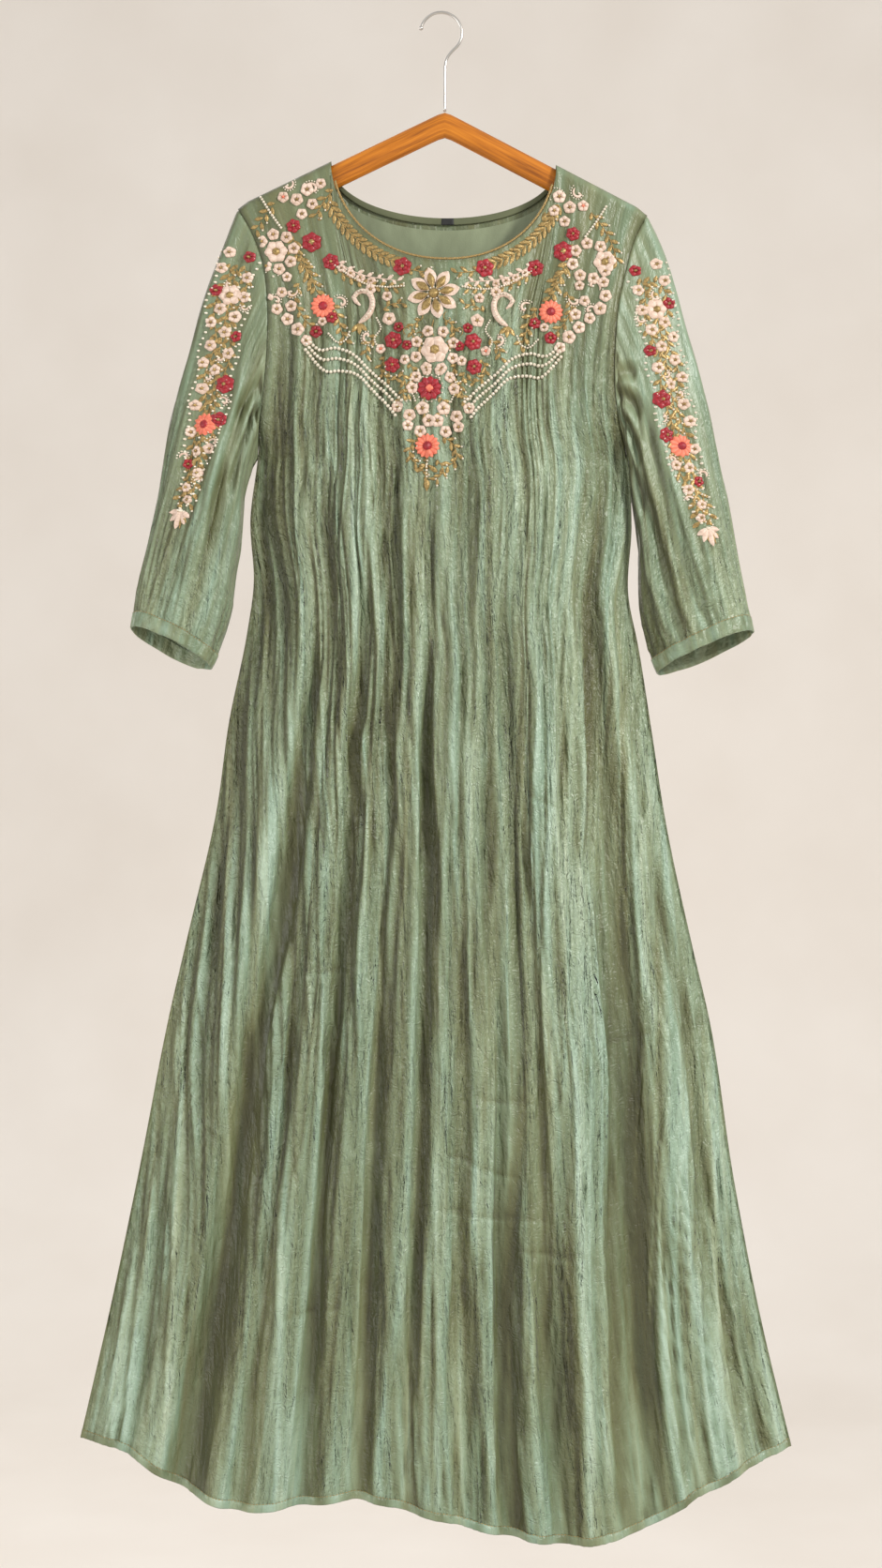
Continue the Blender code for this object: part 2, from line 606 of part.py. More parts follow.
def make_wall(name, outer, inner, closed, flip, finish):
    """Closed wall of cloth between an outer and an inner grid of the same size."""
    rows = outer.shape[0] - 1
    stride = outer.shape[1]
    columns = stride if closed else stride - 1
    points = np.concatenate((outer.reshape(-1, 3), inner.reshape(-1, 3)))
    half = outer.shape[0] * stride
    faces = []
    for triangle in cell_triangles(rows, columns, closed):
        a, b, c = (j * stride + i for j, i in triangle)
        faces.append((a, b, c))
        faces.append((a + half, c + half, b + half))

    def rim(path):
        for k in range(len(path) - 1):
            a, b = path[k], path[k + 1]
            if points[a][2] < points[b][2]:
                faces.append((b, a, b + half))
                faces.append((a, a + half, b + half))
            else:
                faces.append((b, a, a + half))
                faces.append((b, a + half, b + half))

    if closed:
        rim([(i % stride) for i in range(stride, -1, -1)])
        rim([rows * stride + (i % stride) for i in range(stride + 1)])
    else:
        down = [j * stride for j in range(rows + 1)]
        along = [rows * stride + i for i in range(stride)]
        up = [j * stride + stride - 1 for j in range(rows, -1, -1)]
        back = [i for i in range(stride - 1, -1, -1)]
        rim(down)
        rim(along)
        rim(up)
        rim(back)
    if flip:
        faces = [face[::-1] for face in faces]
    make_object(name, points, faces, finish)


def swept_tube(name, route, radius, sides, finish, ball=0.0):
    """Round tube along a route, with closed ends and a ball at its start if one is given."""
    route = [Vector(p) for p in route]
    radii = [radius] * len(route)
    if ball > 0.0:
        head = (route[0] - route[1]).normalized()
        angles = [math.pi * (0.5 + k) / (BALL_STEPS + 0.5) for k in range(BALL_STEPS)]
        radii = [ball * math.sin(angle) for angle in angles] + radii[1:]
        route = [route[0] + head * ball * math.cos(angle) for angle in angles] + route[1:]
    points = []
    rings = []
    side = None
    for k, point in enumerate(route):
        before = route[max(k - 1, 0)]
        after = route[min(k + 1, len(route) - 1)]
        way = (after - before).normalized()
        if side is None:
            side = way.orthogonal().normalized()
        side = (side - way * side.dot(way)).normalized()
        other = way.cross(side)
        ring = []
        for n in range(sides):
            turn = 2.0 * math.pi * n / sides
            ring.append(len(points))
            points.append(point + (side * math.cos(turn) + other * math.sin(turn)) * radii[k])
        rings.append(ring)
    faces = []
    for k in range(len(rings) - 1):
        for n in range(sides):
            m = (n + 1) % sides
            faces.append((rings[k][n], rings[k][m], rings[k + 1][m], rings[k + 1][n]))
    faces.append(tuple(reversed(rings[0])))
    faces.append(tuple(rings[-1]))
    make_object(name, points, faces, finish)


def build_dress():
    """The dress's two panels, its sleeves and cuff bands, parted at their seams."""
    drops = ARMHOLE_DROPS + SKIRT_DROPS
    front = panel_points("front", OUTER, FRONT_COLUMNS, drops)
    back = panel_points("back", OUTER, BACK_COLUMNS, drops)
    under = len(ARMHOLE_DROPS) - 1
    last = len(drops) - 1
    pieces = {"front_panel": (front, False, False), "back_panel": (back, False, True)}
    welds = []
    for j in range(under + 1, last + 1):
        welds.append([("front_panel", j, 0), ("back_panel", j, 0)])
        welds.append([("front_panel", j, FRONT_COLUMNS), ("back_panel", j, BACK_COLUMNS)])
    for i in range(1, SHOULDER_COLUMNS + 1):
        welds.append([("front_panel", 0, i), ("back_panel", 0, i)])
        welds.append([("front_panel", 0, FRONT_COLUMNS - i), ("back_panel", 0, BACK_COLUMNS - i)])
    for name, sleeve in SLEEVES.items():
        left = sleeve["side"] == "left"
        front_column = 0 if left else FRONT_COLUMNS
        back_column = 0 if left else BACK_COLUMNS
        ring = [("front_panel", j, front_column) for j in range(under + 1)]
        ring = ring + [("back_panel", j, back_column) for j in range(under - 1, 0, -1)]
        loop = np.array([pieces[key[0]][0][key[1], key[2]] for key in ring])
        tube = sleeve_points(sleeve, loop, SLEEVE_ROWS, "sleeve")
        band = sleeve_points(sleeve, loop, 1, "band")
        cuff = name.replace("sleeve", "cuff_band")
        pieces[name] = (tube, True, not left)
        pieces[cuff] = (band, True, not left)
        for i, key in enumerate(ring):
            group = [key, (name, 0, i)]
            if key[1] == 0 or key[1] == under:
                group.append(("back_panel", key[1], back_column))
            welds.append(group)
            welds.append([(name, SLEEVE_ROWS, i), (cuff, 0, i)])
    chosen = [
        (("front_panel", under, 0), (-UNDERARM_OUT, 0.0, -UNDERARM_DOWN)),
        (("front_panel", under, FRONT_COLUMNS), (UNDERARM_OUT, 0.0, -UNDERARM_DOWN)),
    ]
    chosen += roll_directions("front_panel", front, OUTER, -1.0)
    chosen += roll_directions("back_panel", back, OUTER, 1.0)
    normals = corner_normals(pieces, welds, chosen)
    for name, (grid, closed, flip) in pieces.items():
        field = normals[name]
        shift = np.zeros_like(grid)
        if name.endswith("_panel"):
            end = grid.shape[1] - 1
            for column, inner in ((0, 1), (end, end - 1)):
                holes = [(j, column) for j in range(under + 1)]
                sides = [(j, column) for j in range(under, last + 1)]
                for path in (holes, sides):
                    inside = [(j, inner) for j, _ in path]
                    shift += part_at_seam(grid, field, path, inside)
            for columns in (range(SHOULDER_COLUMNS + 1), range(end - SHOULDER_COLUMNS, end + 1)):
                path = [(0, i) for i in columns]
                shift += part_at_seam(grid, field, path, [(3, i) for _, i in path])
        else:
            top = [(0, i) for i in range(grid.shape[1])]
            shift += part_at_seam(grid, field, top, [(1, i) for _, i in top], closed=True)
            if name in SLEEVES:
                low = [(SLEEVE_ROWS, i) for i in range(grid.shape[1])]
                inside = [(SLEEVE_ROWS - 1, i) for _, i in low]
                shift += part_at_seam(grid, field, low, inside, closed=True)
        outer = grid + shift
        inner = outer - field * WALL
        make_wall(name, outer, inner, closed, flip, "silk")
        pieces[name] = (outer, closed, flip)
    return {name: piece[0] for name, piece in pieces.items()}, normals


def build_lining():
    """The sleeveless lining, which shows inside the neck and above the sheer hem."""
    pieces = {}
    chosen = []
    for panel in ("front", "back"):
        grid = panel_points(panel, LINING, LINING_COLUMNS, LINING_DROPS)
        pieces[panel + "_lining"] = (grid, False, panel == "back")
        chosen += roll_directions(panel + "_lining", grid, LINING, LAYERS[panel]["sign"])
    last = len(LINING_DROPS) - 1
    under = LINING_DROPS.index(0.255)
    welds = []
    for column in (0, LINING_COLUMNS):
        for j in range(under, last + 1):
            welds.append([("front_lining", j, column), ("back_lining", j, column)])
    left_strap = range(LINING_STRAP_COLUMNS + 1)
    right_strap = range(LINING_COLUMNS - LINING_STRAP_COLUMNS, LINING_COLUMNS + 1)
    for i in (*left_strap, *right_strap):
        welds.append([("front_lining", 0, i), ("back_lining", 0, i)])
    normals = corner_normals(pieces, welds, chosen)
    for name, (grid, closed, flip) in pieces.items():
        shift = np.zeros_like(grid)
        for column, inner in ((0, 1), (LINING_COLUMNS, LINING_COLUMNS - 1)):
            path = [(j, column) for j in range(under, last + 1)]
            shift += part_at_seam(grid, normals[name], path, [(j, inner) for j, _ in path])
        for columns in (left_strap, right_strap):
            path = [(0, i) for i in columns]
            shift += part_at_seam(grid, normals[name], path, [(2, i) for _, i in path])
        outer = grid + shift
        make_wall(name, outer, outer - normals[name] * LINING_WALL, closed, flip, "lining")


def build_piping(outer, field):
    """Narrow piping along the front neckline, just above the panel's edge."""
    columns = range(SHOULDER_COLUMNS + PIPING_START, FRONT_COLUMNS - SHOULDER_COLUMNS - PIPING_START + 1)
    route = []
    for k in columns:
        along = outer[0, k + 1] - outer[0, k - 1]
        along = along / np.linalg.norm(along)
        up = np.cross(along, field[0, k])
        up = up / np.linalg.norm(up)
        if up.dot(outer[0, k] - outer[3, k]) < 0.0:
            up = -up
        route.append(outer[0, k] - field[0, k] * WALL / 2.0 + up * (PIPING_RADIUS + PIPING_LIFT))
    swept_tube("neck_piping", route, PIPING_RADIUS, 6, "piping")


def build_facing(outer, field):
    """Binding inside the back neckline, above the lining, with the bare label sewn to it."""
    columns = range(SHOULDER_COLUMNS + FACING_START, BACK_COLUMNS - SHOULDER_COLUMNS - FACING_START + 1)
    rows = []
    for lift in (WALL + SEAM_GAP, WALL + SEAM_GAP + FACING_WALL):
        top = []
        low = []
        for k in columns:
            down = outer[3, k] - outer[0, k]
            down = down / np.linalg.norm(down)
            at_edge = outer[0, k] - field[0, k] * lift
            top.append(at_edge + down * SEAM_GAP)
            low.append(at_edge + down * FACING_HEIGHT)
        rows.append(np.array((top, low)))
    make_wall("back_neck_facing", rows[0], rows[1], False, True, "facing")
    middle = rows[1].shape[1] // 2
    centre = rows[1][:, middle].mean(axis=0)
    down = rows[1][1, middle] - rows[1][0, middle]
    down = down / np.linalg.norm(down)
    along = rows[1][0, middle + 1] - rows[1][0, middle - 1]
    along = along / np.linalg.norm(along)
    inward = np.cross(along, down)
    if inward[1] > 0.0:
        inward = -inward
    points = []
    for lift in (LABEL_LIFT, LABEL_LIFT + LABEL_WALL):
        for side, drop in ((-1, -1), (1, -1), (1, 1), (-1, 1)):
            corner = centre + along * side * LABEL_WIDTH / 2.0 + down * drop * LABEL_HEIGHT / 2.0
            points.append(corner + inward * lift)
    faces = [(0, 1, 2, 3), (7, 6, 5, 4), (4, 5, 1, 0), (5, 6, 2, 1), (6, 7, 3, 2), (7, 4, 0, 3)]
    make_object("neck_label", points, faces, "label", smooth=False)


def build_motifs(outers):
    """Raised flowers, each made from points of the cloth under it, moved out."""
    for row in MOTIFS + SLEEVE_MOTIFS:
        motif = dict(zip(MOTIF_COLUMNS, row))
        on_sleeve = motif["name"].startswith("sleeve")
        name = "_".join(motif["name"].split("_")[:2]) if on_sleeve else "front_panel"
        grid = outers[name]
        closed = on_sleeve
        stride = grid.shape[1]
        cells = cell_triangles(grid.shape[0] - 1, stride if closed else stride - 1, closed)
        faces = [tuple(j * stride + i for j, i in cell) for cell in cells]
        cloth = BVHTree.FromPolygons([Vector(p) for p in grid.reshape(-1, 3)], faces)
        turn = 0.0
        if on_sleeve:
            turn = math.radians(SLEEVE_MOTIF_TURN) * (1.0 if motif["x"] > 0.0 else -1.0)
        toward = Vector((-math.sin(turn), math.cos(turn), 0.0))
        across = Vector((math.cos(turn), math.sin(turn), 0.0))
        centre = Vector((motif["x"], 0.0, motif["z"]))
        count = motif["petals"] * 2
        rings = []
        for share, rise in FLOWER_PROFILE:
            ring = []
            for n in range(1 if share == 0.0 else count):
                angle = 2.0 * math.pi * n / count
                wave = 1.0 - (PETAL_NOTCH if n % 2 and share > 0.5 else 0.0)
                way = across * math.cos(angle) + Vector((0.0, 0.0, 1.0)) * math.sin(angle)
                spot = centre + way * motif["radius"] * share * wave
                hit = cloth.ray_cast(spot - toward * RAY_REACH, toward)[0]
                ring.append(hit - toward * (MOTIF_LIFT + motif["height"] * rise))
            rings.append(ring)
        base = cloth.ray_cast(centre - toward * RAY_REACH, toward)[0] - toward * MOTIF_LIFT
        points = [p for ring in rings for p in ring] + [base]
        starts = [0] + [1 + count * k for k in range(len(rings))]
        faces = []
        for n in range(count):
            m = (n + 1) % count
            faces.append((0, starts[1] + n, starts[1] + m))
            for k in range(1, 5):
                a, b = starts[k], starts[k + 1]
                faces.append((a + n, b + n, b + m, a + m))
            faces.append((starts[5] + n, len(points) - 1, starts[5] + m))
        make_object(motif["name"], points, faces, motif["kind"])


def build_hanger():
    """Wooden hanger with two sloping arms, and its wire hook."""
    half = [(y * ARM_HALF_DEPTH, z * ARM_HEIGHT) for y, z in ARM_SECTION]
    section = [(-y, z) for y, z in half] + half[::-1]
    stations = (
        (ARM_REACH_LEFT, ARM_END_SHARE),
        (ARM_REACH_LEFT + ARM_ROUNDING / 3.0, ARM_ROUNDED_SHARE),
        (ARM_REACH_LEFT + ARM_ROUNDING, 1.0),
        (ARM_REACH_LEFT / 2.0, 1.0),
        (APEX_X - ARM_ROUNDING, 1.0),
        (APEX_X, 1.0),
        (APEX_X + ARM_ROUNDING, 1.0),
        (ARM_REACH_RIGHT / 2.0, 1.0),
        (ARM_REACH_RIGHT - ARM_ROUNDING, 1.0),
        (ARM_REACH_RIGHT - ARM_ROUNDING / 3.0, ARM_ROUNDED_SHARE),
        (ARM_REACH_RIGHT, ARM_END_SHARE),
    )
    mid = -ARM_HEIGHT / 2.0
    points = []
    for x, share in stations:
        top = float(ridge_height(np.array(x), 0.0))
        for y, z in section:
            points.append((x, y * share, top + mid + (z - mid) * share))
    count = len(section)
    faces = []
    for k in range(len(stations) - 1):
        for n in range(count):
            m = (n + 1) % count
            faces.append((k * count + n, k * count + m, (k + 1) * count + m, (k + 1) * count + n))
    faces.append(tuple(range(count - 1, -1, -1)))
    faces.append(tuple((len(stations) - 1) * count + n for n in range(count)))
    make_object("hanger_wood", points, faces, "wood")
    centre_z = HOOK_WIRE_RADIUS - HOOK_BEND_RADIUS
    route = []
    for k in range(HOOK_BEND_STEPS + 1):
        angle = math.radians(HOOK_TIP_ANGLE + (HOOK_TURN_ANGLE - HOOK_TIP_ANGLE) * k / HOOK_BEND_STEPS)
        x = HOOK_BEND_RADIUS * math.cos(angle)
        route.append((x, 0.0, centre_z + HOOK_BEND_RADIUS * math.sin(angle)))
    turn = math.radians(HOOK_TURN_ANGLE)
    first = Vector(route[-1])
    last = Vector((HOOK_STEM_X, 0.0, HOOK_NECK_Z))
    one = first + Vector((math.sin(turn), 0.0, -math.cos(turn))) * 0.012
    two = last + Vector((0.0, 0.0, 0.010))
    for k in range(1, HOOK_NECK_STEPS + 1):
        t = k / HOOK_NECK_STEPS
        early = first * (1 - t) ** 3 + one * 3 * t * (1 - t) ** 2
        late = two * 3 * t * t * (1 - t) + last * t**3
        route.append(tuple(early + late))
    foot_z = APEX_Z + SEAM_GAP
    route.append((HOOK_STEM_X, 0.0, (HOOK_NECK_Z + foot_z) / 2.0))
    route.append((HOOK_STEM_X, 0.0, foot_z))
    swept_tube("hanger_hook", route, HOOK_WIRE_RADIUS, 8, "steel", ball=HOOK_BALL_RADIUS)


panel_grids, panel_normals = build_dress()
build_lining()
build_piping(panel_grids["front_panel"], panel_normals["front_panel"])
build_facing(panel_grids["back_panel"], panel_normals["back_panel"])
build_motifs(panel_grids)
build_hanger()
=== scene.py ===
# Flared dress of crushed two-tone silk with an embroidered yoke, on a wooden hanger
import math

import bpy
import numpy as np
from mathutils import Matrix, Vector
from mathutils.bvhtree import BVHTree


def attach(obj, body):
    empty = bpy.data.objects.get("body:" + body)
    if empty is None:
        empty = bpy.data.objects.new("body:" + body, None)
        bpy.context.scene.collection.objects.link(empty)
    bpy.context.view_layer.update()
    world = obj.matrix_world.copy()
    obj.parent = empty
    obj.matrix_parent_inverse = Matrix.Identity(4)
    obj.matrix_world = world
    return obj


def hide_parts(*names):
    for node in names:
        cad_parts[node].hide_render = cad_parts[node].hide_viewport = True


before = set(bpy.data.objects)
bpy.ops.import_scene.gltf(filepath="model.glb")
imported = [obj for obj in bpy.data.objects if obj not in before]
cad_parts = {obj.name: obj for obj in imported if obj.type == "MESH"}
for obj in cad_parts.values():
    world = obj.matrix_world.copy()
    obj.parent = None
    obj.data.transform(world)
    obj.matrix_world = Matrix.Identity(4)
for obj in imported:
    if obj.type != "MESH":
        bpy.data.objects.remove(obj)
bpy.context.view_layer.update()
print("frame loaded")


# small tools used by every piece
def columnTable(names, rows):
    return {name: np.array([row[k] for row in rows], float) for k, name in enumerate(names)}


def smoothCurve(at, xs, ys):  # smooth values through the rows of a table
    slopes = np.gradient(ys, xs)
    at = np.clip(at, xs[0], xs[-1])
    k = np.clip(np.searchsorted(xs, at, side="right") - 1, 0, len(xs) - 2)
    width = xs[k + 1] - xs[k]
    t = (at - xs[k]) / width
    value = (2 * t**3 - 3 * t**2 + 1) * ys[k] + (-2 * t**3 + 3 * t**2) * ys[k + 1]
    return value + ((t**3 - 2 * t**2 + t) * slopes[k] + (t**3 - t**2) * slopes[k + 1]) * width


def ease(low, high, at):
    t = np.clip((at - low) / (high - low), 0.0, 1.0)
    return t * t * (3.0 - 2.0 * t)


def bell(distance, halfWidth):
    return np.exp(-((distance / halfWidth) ** 2))


def noise(x, y, seed):  # soft random field from about -1 to 1
    x = np.asarray(x, float)
    y = np.asarray(y, float)
    xi = np.floor(x).astype(np.int64)
    yi = np.floor(y).astype(np.int64)
    xf = x - xi
    yf = y - yi

    def corner(dx, dy):
        h = ((xi + dx) * 374761393 + (yi + dy) * 668265263 + seed * 974711) & 0xFFFFFFFF
        h = ((h ^ (h >> 13)) * 1274126177) & 0xFFFFFFFF
        angle = ((h ^ (h >> 16)) & 0xFFFF) * (2.0 * math.pi / 65536.0)
        return np.cos(angle) * (xf - dx) + np.sin(angle) * (yf - dy)

    sx = xf**3 * (xf * (xf * 6 - 15) + 10)
    sy = yf**3 * (yf * (yf * 6 - 15) + 10)
    low = corner(0, 0) * (1 - sx) + corner(1, 0) * sx
    high = corner(0, 1) * (1 - sx) + corner(1, 1) * sx
    return 1.5 * (low * (1 - sy) + high * sy)


def crest(x, y, seed):  # sharp crests where the soft field crosses nothing
    return 1.0 - 2.0 * np.minimum(np.abs(noise(x, y, seed)) * 1.6, 1.0)


def makeMesh(name, points, quads, material, uv=None, marks=None):
    points = np.asarray(points, float).reshape(-1, 3)
    mesh = bpy.data.meshes.new(name)
    mesh.vertices.add(len(points))
    mesh.vertices.foreach_set("co", points.astype(np.float32).ravel())
    sizes = np.array([len(q) for q in quads]) if isinstance(quads, list) else np.full(len(quads), 4)
    flat = np.concatenate([np.asarray(q) for q in quads]) if isinstance(quads, list) else quads.ravel()
    mesh.loops.add(len(flat))
    mesh.loops.foreach_set("vertex_index", flat.astype(np.int32))
    mesh.polygons.add(len(sizes))
    mesh.polygons.foreach_set("loop_start", (np.cumsum(sizes) - sizes).astype(np.int32))
    mesh.update(calc_edges=True)
    if uv is not None:
        layer = mesh.uv_layers.new(name="cloth")
        layer.data.foreach_set("uv", np.asarray(uv, np.float32).reshape(-1, 2)[flat].ravel())
    for mark, values in (marks or {}).items():
        attribute = mesh.attributes.new(mark, "FLOAT", "POINT")
        attribute.data.foreach_set("value", np.asarray(values, np.float32).ravel())
    mesh.polygons.foreach_set("use_smooth", np.ones(len(sizes), bool))
    mesh.materials.append(material)
    mesh.validate()
    item = bpy.data.objects.new(name, mesh)
    bpy.context.scene.collection.objects.link(item)
    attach(item, "root")
    return item


def gridQuads(rows, columns, closed=False, flip=False):  # rows and columns of points
    j, i = np.meshgrid(np.arange(rows - 1), np.arange(columns if closed else columns - 1), indexing="ij")
    n = (i + 1) % columns
    row, nextRow = j * columns, (j + 1) * columns
    quads = np.stack((row + i, nextRow + i, nextRow + n, row + n), axis=-1).reshape(-1, 4)
    return quads[:, ::-1] if flip else quads


def outwardOf(points, closed, flip):  # unit normals of a grid
    if closed:
        across = np.roll(points, -1, axis=1) - np.roll(points, 1, axis=1)
    else:
        across = np.gradient(points, axis=1)
    down = np.gradient(points, axis=0)
    normal = np.cross(down, across)
    size = np.linalg.norm(normal, axis=-1, keepdims=True)
    return normal / np.maximum(size, 1e-12) * (-1.0 if flip else 1.0)


def tubeFaces(rings, sides):  # a round grid with both its ends closed
    last = (rings - 1) * sides
    ends = [list(range(sides)), [last + n for n in range(sides - 1, -1, -1)]]
    return [list(q) for q in gridQuads(rings, sides, True)] + ends


def sheetArea(points):
    down = points[1:, :-1] - points[:-1, :-1]
    across = points[:-1, 1:] - points[:-1, :-1]
    return float(np.linalg.norm(np.cross(down, across), axis=-1).sum())


def runLength(path):  # the length along a path at each of its points
    return np.concatenate(([0.0], np.cumsum(np.linalg.norm(np.diff(path, axis=0), axis=1))))


def pickAlong(at, places, values):  # rows of values, read at other places
    return np.stack([np.interp(at, places, values[:, k]) for k in range(values.shape[1])], axis=1)


def throughPoints(a, b, c, d, t):  # a smooth curve from b to c, with a before it and d after it
    return 0.5 * (2 * b + (c - a) * t + (2 * a - 5 * b + 4 * c - d) * t * t
                  + (3 * b - a - 3 * c + d) * t**3)


# shape of the dress, in metres, as it was drafted
dressShape = {
    "apex": (0.0036, -0.0944),
    "slopes": (0.481, 0.5225),
    "armReach": (-0.184, 0.186),
    "droop": 0.0028,
    "neckCrowding": 0.9,
    "leanHalfWidth": 0.062,
    "underarmDrop": 0.243,
    "sideDrop": 1.186,
    "armholeSettled": 0.120,
    "spacingFade": 0.350,
    "neckFade": 0.120,
    "cuffBand": 0.015,
}
side = columnTable(
    ("drop", "leftX", "leftZ", "rightX", "rightZ", "frontEdge", "backEdge"),
    (
        (0.000, -0.196, -0.187, 0.199, -0.199, 0.000, 0.000),
        (0.020, -0.184, -0.207, 0.188, -0.219, 0.001, 0.001),
        (0.055, -0.171, -0.242, 0.177, -0.254, 0.007, 0.004),
        (0.095, -0.166, -0.282, 0.169, -0.292, 0.015, 0.010),
        (0.131, -0.166, -0.318, 0.166, -0.327, 0.019, 0.014),
        (0.170, -0.169, -0.357, 0.166, -0.364, 0.019, 0.015),
        (0.207, -0.174, -0.394, 0.171, -0.398, 0.014, 0.011),
        (0.243, -0.177, -0.430, 0.180, -0.431, 0.000, 0.000),
        (0.300, -0.184, -0.487, 0.184, -0.492, 0.000, 0.000),
        (0.365, -0.181, -0.552, 0.181, -0.562, 0.000, 0.000),
        (0.409, -0.187, -0.596, 0.190, -0.608, 0.000, 0.000),
        (0.498, -0.205, -0.685, 0.204, -0.696, 0.000, 0.000),
        (0.577, -0.216, -0.764, 0.216, -0.774, 0.000, 0.000),
        (0.704, -0.245, -0.891, 0.243, -0.901, 0.000, 0.000),
        (0.768, -0.260, -0.955, 0.258, -0.965, 0.000, 0.000),
        (0.931, -0.292, -1.118, 0.283, -1.126, 0.000, 0.000),
        (1.060, -0.319, -1.247, 0.308, -1.255, 0.000, 0.000),
        (1.186, -0.348, -1.373, 0.338, -1.381, 0.000, 0.000),
    ),
)
depthBelow = columnTable(
    ("below", "front", "back"),
    (
        (0.000, 0.000, 0.000),
        (0.020, 0.001, 0.000),
        (0.060, 0.004, 0.002),
        (0.120, 0.012, 0.005),
        (0.200, 0.027, 0.012),
        (0.300, 0.037, 0.017),
        (0.450, 0.043, 0.020),
        (0.700, 0.052, 0.024),
        (1.000, 0.063, 0.029),
        (1.350, 0.074, 0.033),
    ),
)
hemFall = columnTable(
    ("across", "front", "back"),
    (
        (0.00, -1.373, -1.373),
        (0.07, -1.383, -1.386),
        (0.14, -1.412, -1.398),
        (0.22, -1.427, -1.410),
        (0.31, -1.422, -1.418),
        (0.39, -1.414, -1.421),
        (0.50, -1.430, -1.424),
        (0.60, -1.449, -1.428),
        (0.69, -1.457, -1.430),
        (0.78, -1.451, -1.427),
        (0.86, -1.422, -1.417),
        (0.93, -1.400, -1.401),
        (1.00, -1.381, -1.381),
    ),
)
liningFit = columnTable(
    ("below", "sideInset", "depthShare", "depthInset"),
    (
        (0.000, 0.046, 1.00, 0.0000),
        (0.030, 0.039, 0.95, 0.0000),
        (0.090, 0.028, 0.66, 0.0005),
        (0.170, 0.019, 0.60, 0.0010),
        (0.255, 0.016, 0.60, 0.0015),
        (0.420, 0.016, 0.60, 0.0020),
        (0.800, 0.014, 0.50, 0.0030),
        (1.350, 0.018, 0.42, 0.0020),
    ),
)
# place across (-1 to 1) at the start and the hem, half width, depth, and the drop where the fold starts
frontFolds = (
    (-0.90, -0.87, 0.045, 0.011, 0.450),
    (-0.62, -0.71, 0.060, 0.027, 0.330),
    (-0.52, -0.55, 0.035, 0.009, 0.300),
    (-0.36, -0.37, 0.045, 0.015, 0.240),
    (-0.20, -0.21, 0.040, 0.013, 0.200),
    (-0.03, -0.08, 0.040, 0.010, 0.230),
    (0.10, 0.07, 0.035, 0.008, 0.420),
    (0.25, 0.20, 0.050, 0.015, 0.360),
    (0.36, 0.34, 0.045, 0.012, 0.200),
    (0.84, 0.57, 0.080, 0.022, 0.220),
    (0.74, 0.74, 0.040, 0.010, 0.560),
    (0.91, 0.88, 0.045, 0.010, 0.500),
)
backFolds = (
    (-0.80, -0.84, 0.055, 0.009, 0.400),
    (-0.55, -0.60, 0.060, 0.014, 0.300),
    (-0.30, -0.33, 0.055, 0.011, 0.220),
    (-0.04, -0.05, 0.060, 0.013, 0.260),
    (0.22, 0.24, 0.055, 0.010, 0.220),
    (0.47, 0.52, 0.060, 0.014, 0.320),
    (0.76, 0.80, 0.055, 0.010, 0.420),
)
liningFolds = (
    (-0.45, -0.48, 0.11, 0.006, 0.350),
    (0.00, 0.02, 0.12, 0.007, 0.400),
    (0.48, 0.50, 0.11, 0.006, 0.350),
)
frontPanel = {"side": "front", "sign": -1.0, "neck": 0.100, "lean": 0.009, "folds": frontFolds, "columns": 52,
              "finer": 5}
backPanel = {"side": "back", "sign": 1.0, "neck": 0.050, "lean": 0.002, "folds": backFolds, "columns": 40,
             "finer": 5}
silkLayer = {"rise": 0.0047, "roll": 0.0106, "tips": (-0.196, 0.199), "necks": (-0.106, 0.111),
             "neckExtra": {"front": 0.0, "back": 0.0}, "hemLift": 0.0, "shoulder": 9, "fullness": 2.4}
liningLayer = {"rise": 0.0026, "roll": 0.0080, "tips": (-0.150, 0.153), "necks": (-0.1125, 0.1175),
               "neckExtra": {"front": 0.004, "back": 0.0075}, "hemLift": 0.095, "shoulder": 3, "fullness": 3.4}


def ridgeHeight(x, rise):  # the shoulder line over the hanger
    slope = np.where(x < dressShape["apex"][0], *dressShape["slopes"])
    low, high = dressShape["armReach"]
    past = np.maximum(x - (high + 0.002), (low - 0.002) - x)
    droop = dressShape["droop"] * np.clip(past / 0.010, 0.0, 1.0)
    return dressShape["apex"][1] + rise - slope * np.abs(x - dressShape["apex"][0]) - droop


def rollOver(below, radius):  # how far the cloth stands out as it rolls over the hanger
    h = np.clip(below, 0.0, radius)
    return np.sqrt(np.maximum(2.0 * radius * h - h * h, 0.0))


def topEdge(panel, layer, columns, finer):
    shoulder = layer["shoulder"] * finer
    share = np.linspace(0.0, 1.0, shoulder + 1)
    leftNeck, rightNeck = layer["necks"]
    leftX = layer["tips"][0] + (leftNeck - layer["tips"][0]) * share
    rightX = rightNeck + (layer["tips"][1] - rightNeck) * share
    leftZ = ridgeHeight(leftX, layer["rise"])
    rightZ = ridgeHeight(rightX, layer["rise"])
    angle = np.linspace(0.0, math.pi, 1441)
    across = (1.0 - np.cos(angle)) / 2.0
    depth = panel["neck"] + layer["neckExtra"][panel["side"]]
    arcX = leftNeck + (rightNeck - leftNeck) * across
    arcZ = leftZ[-1] + (rightZ[0] - leftZ[-1]) * across - depth * np.sin(angle)
    length = np.concatenate(([0.0], np.cumsum(np.hypot(np.diff(arcX), np.diff(arcZ)))))
    w = np.linspace(0.0, 1.0, columns * finer - 2 * shoulder + 1)
    place = length[-1] * (w - dressShape["neckCrowding"] * np.sin(2.0 * math.pi * w) / (2.0 * math.pi))
    neckX = np.interp(place, length, arcX)
    neckZ = np.interp(place, length, arcZ)
    return np.concatenate((leftX, neckX[1:-1], rightX)), np.concatenate((leftZ, neckZ[1:-1], rightZ))


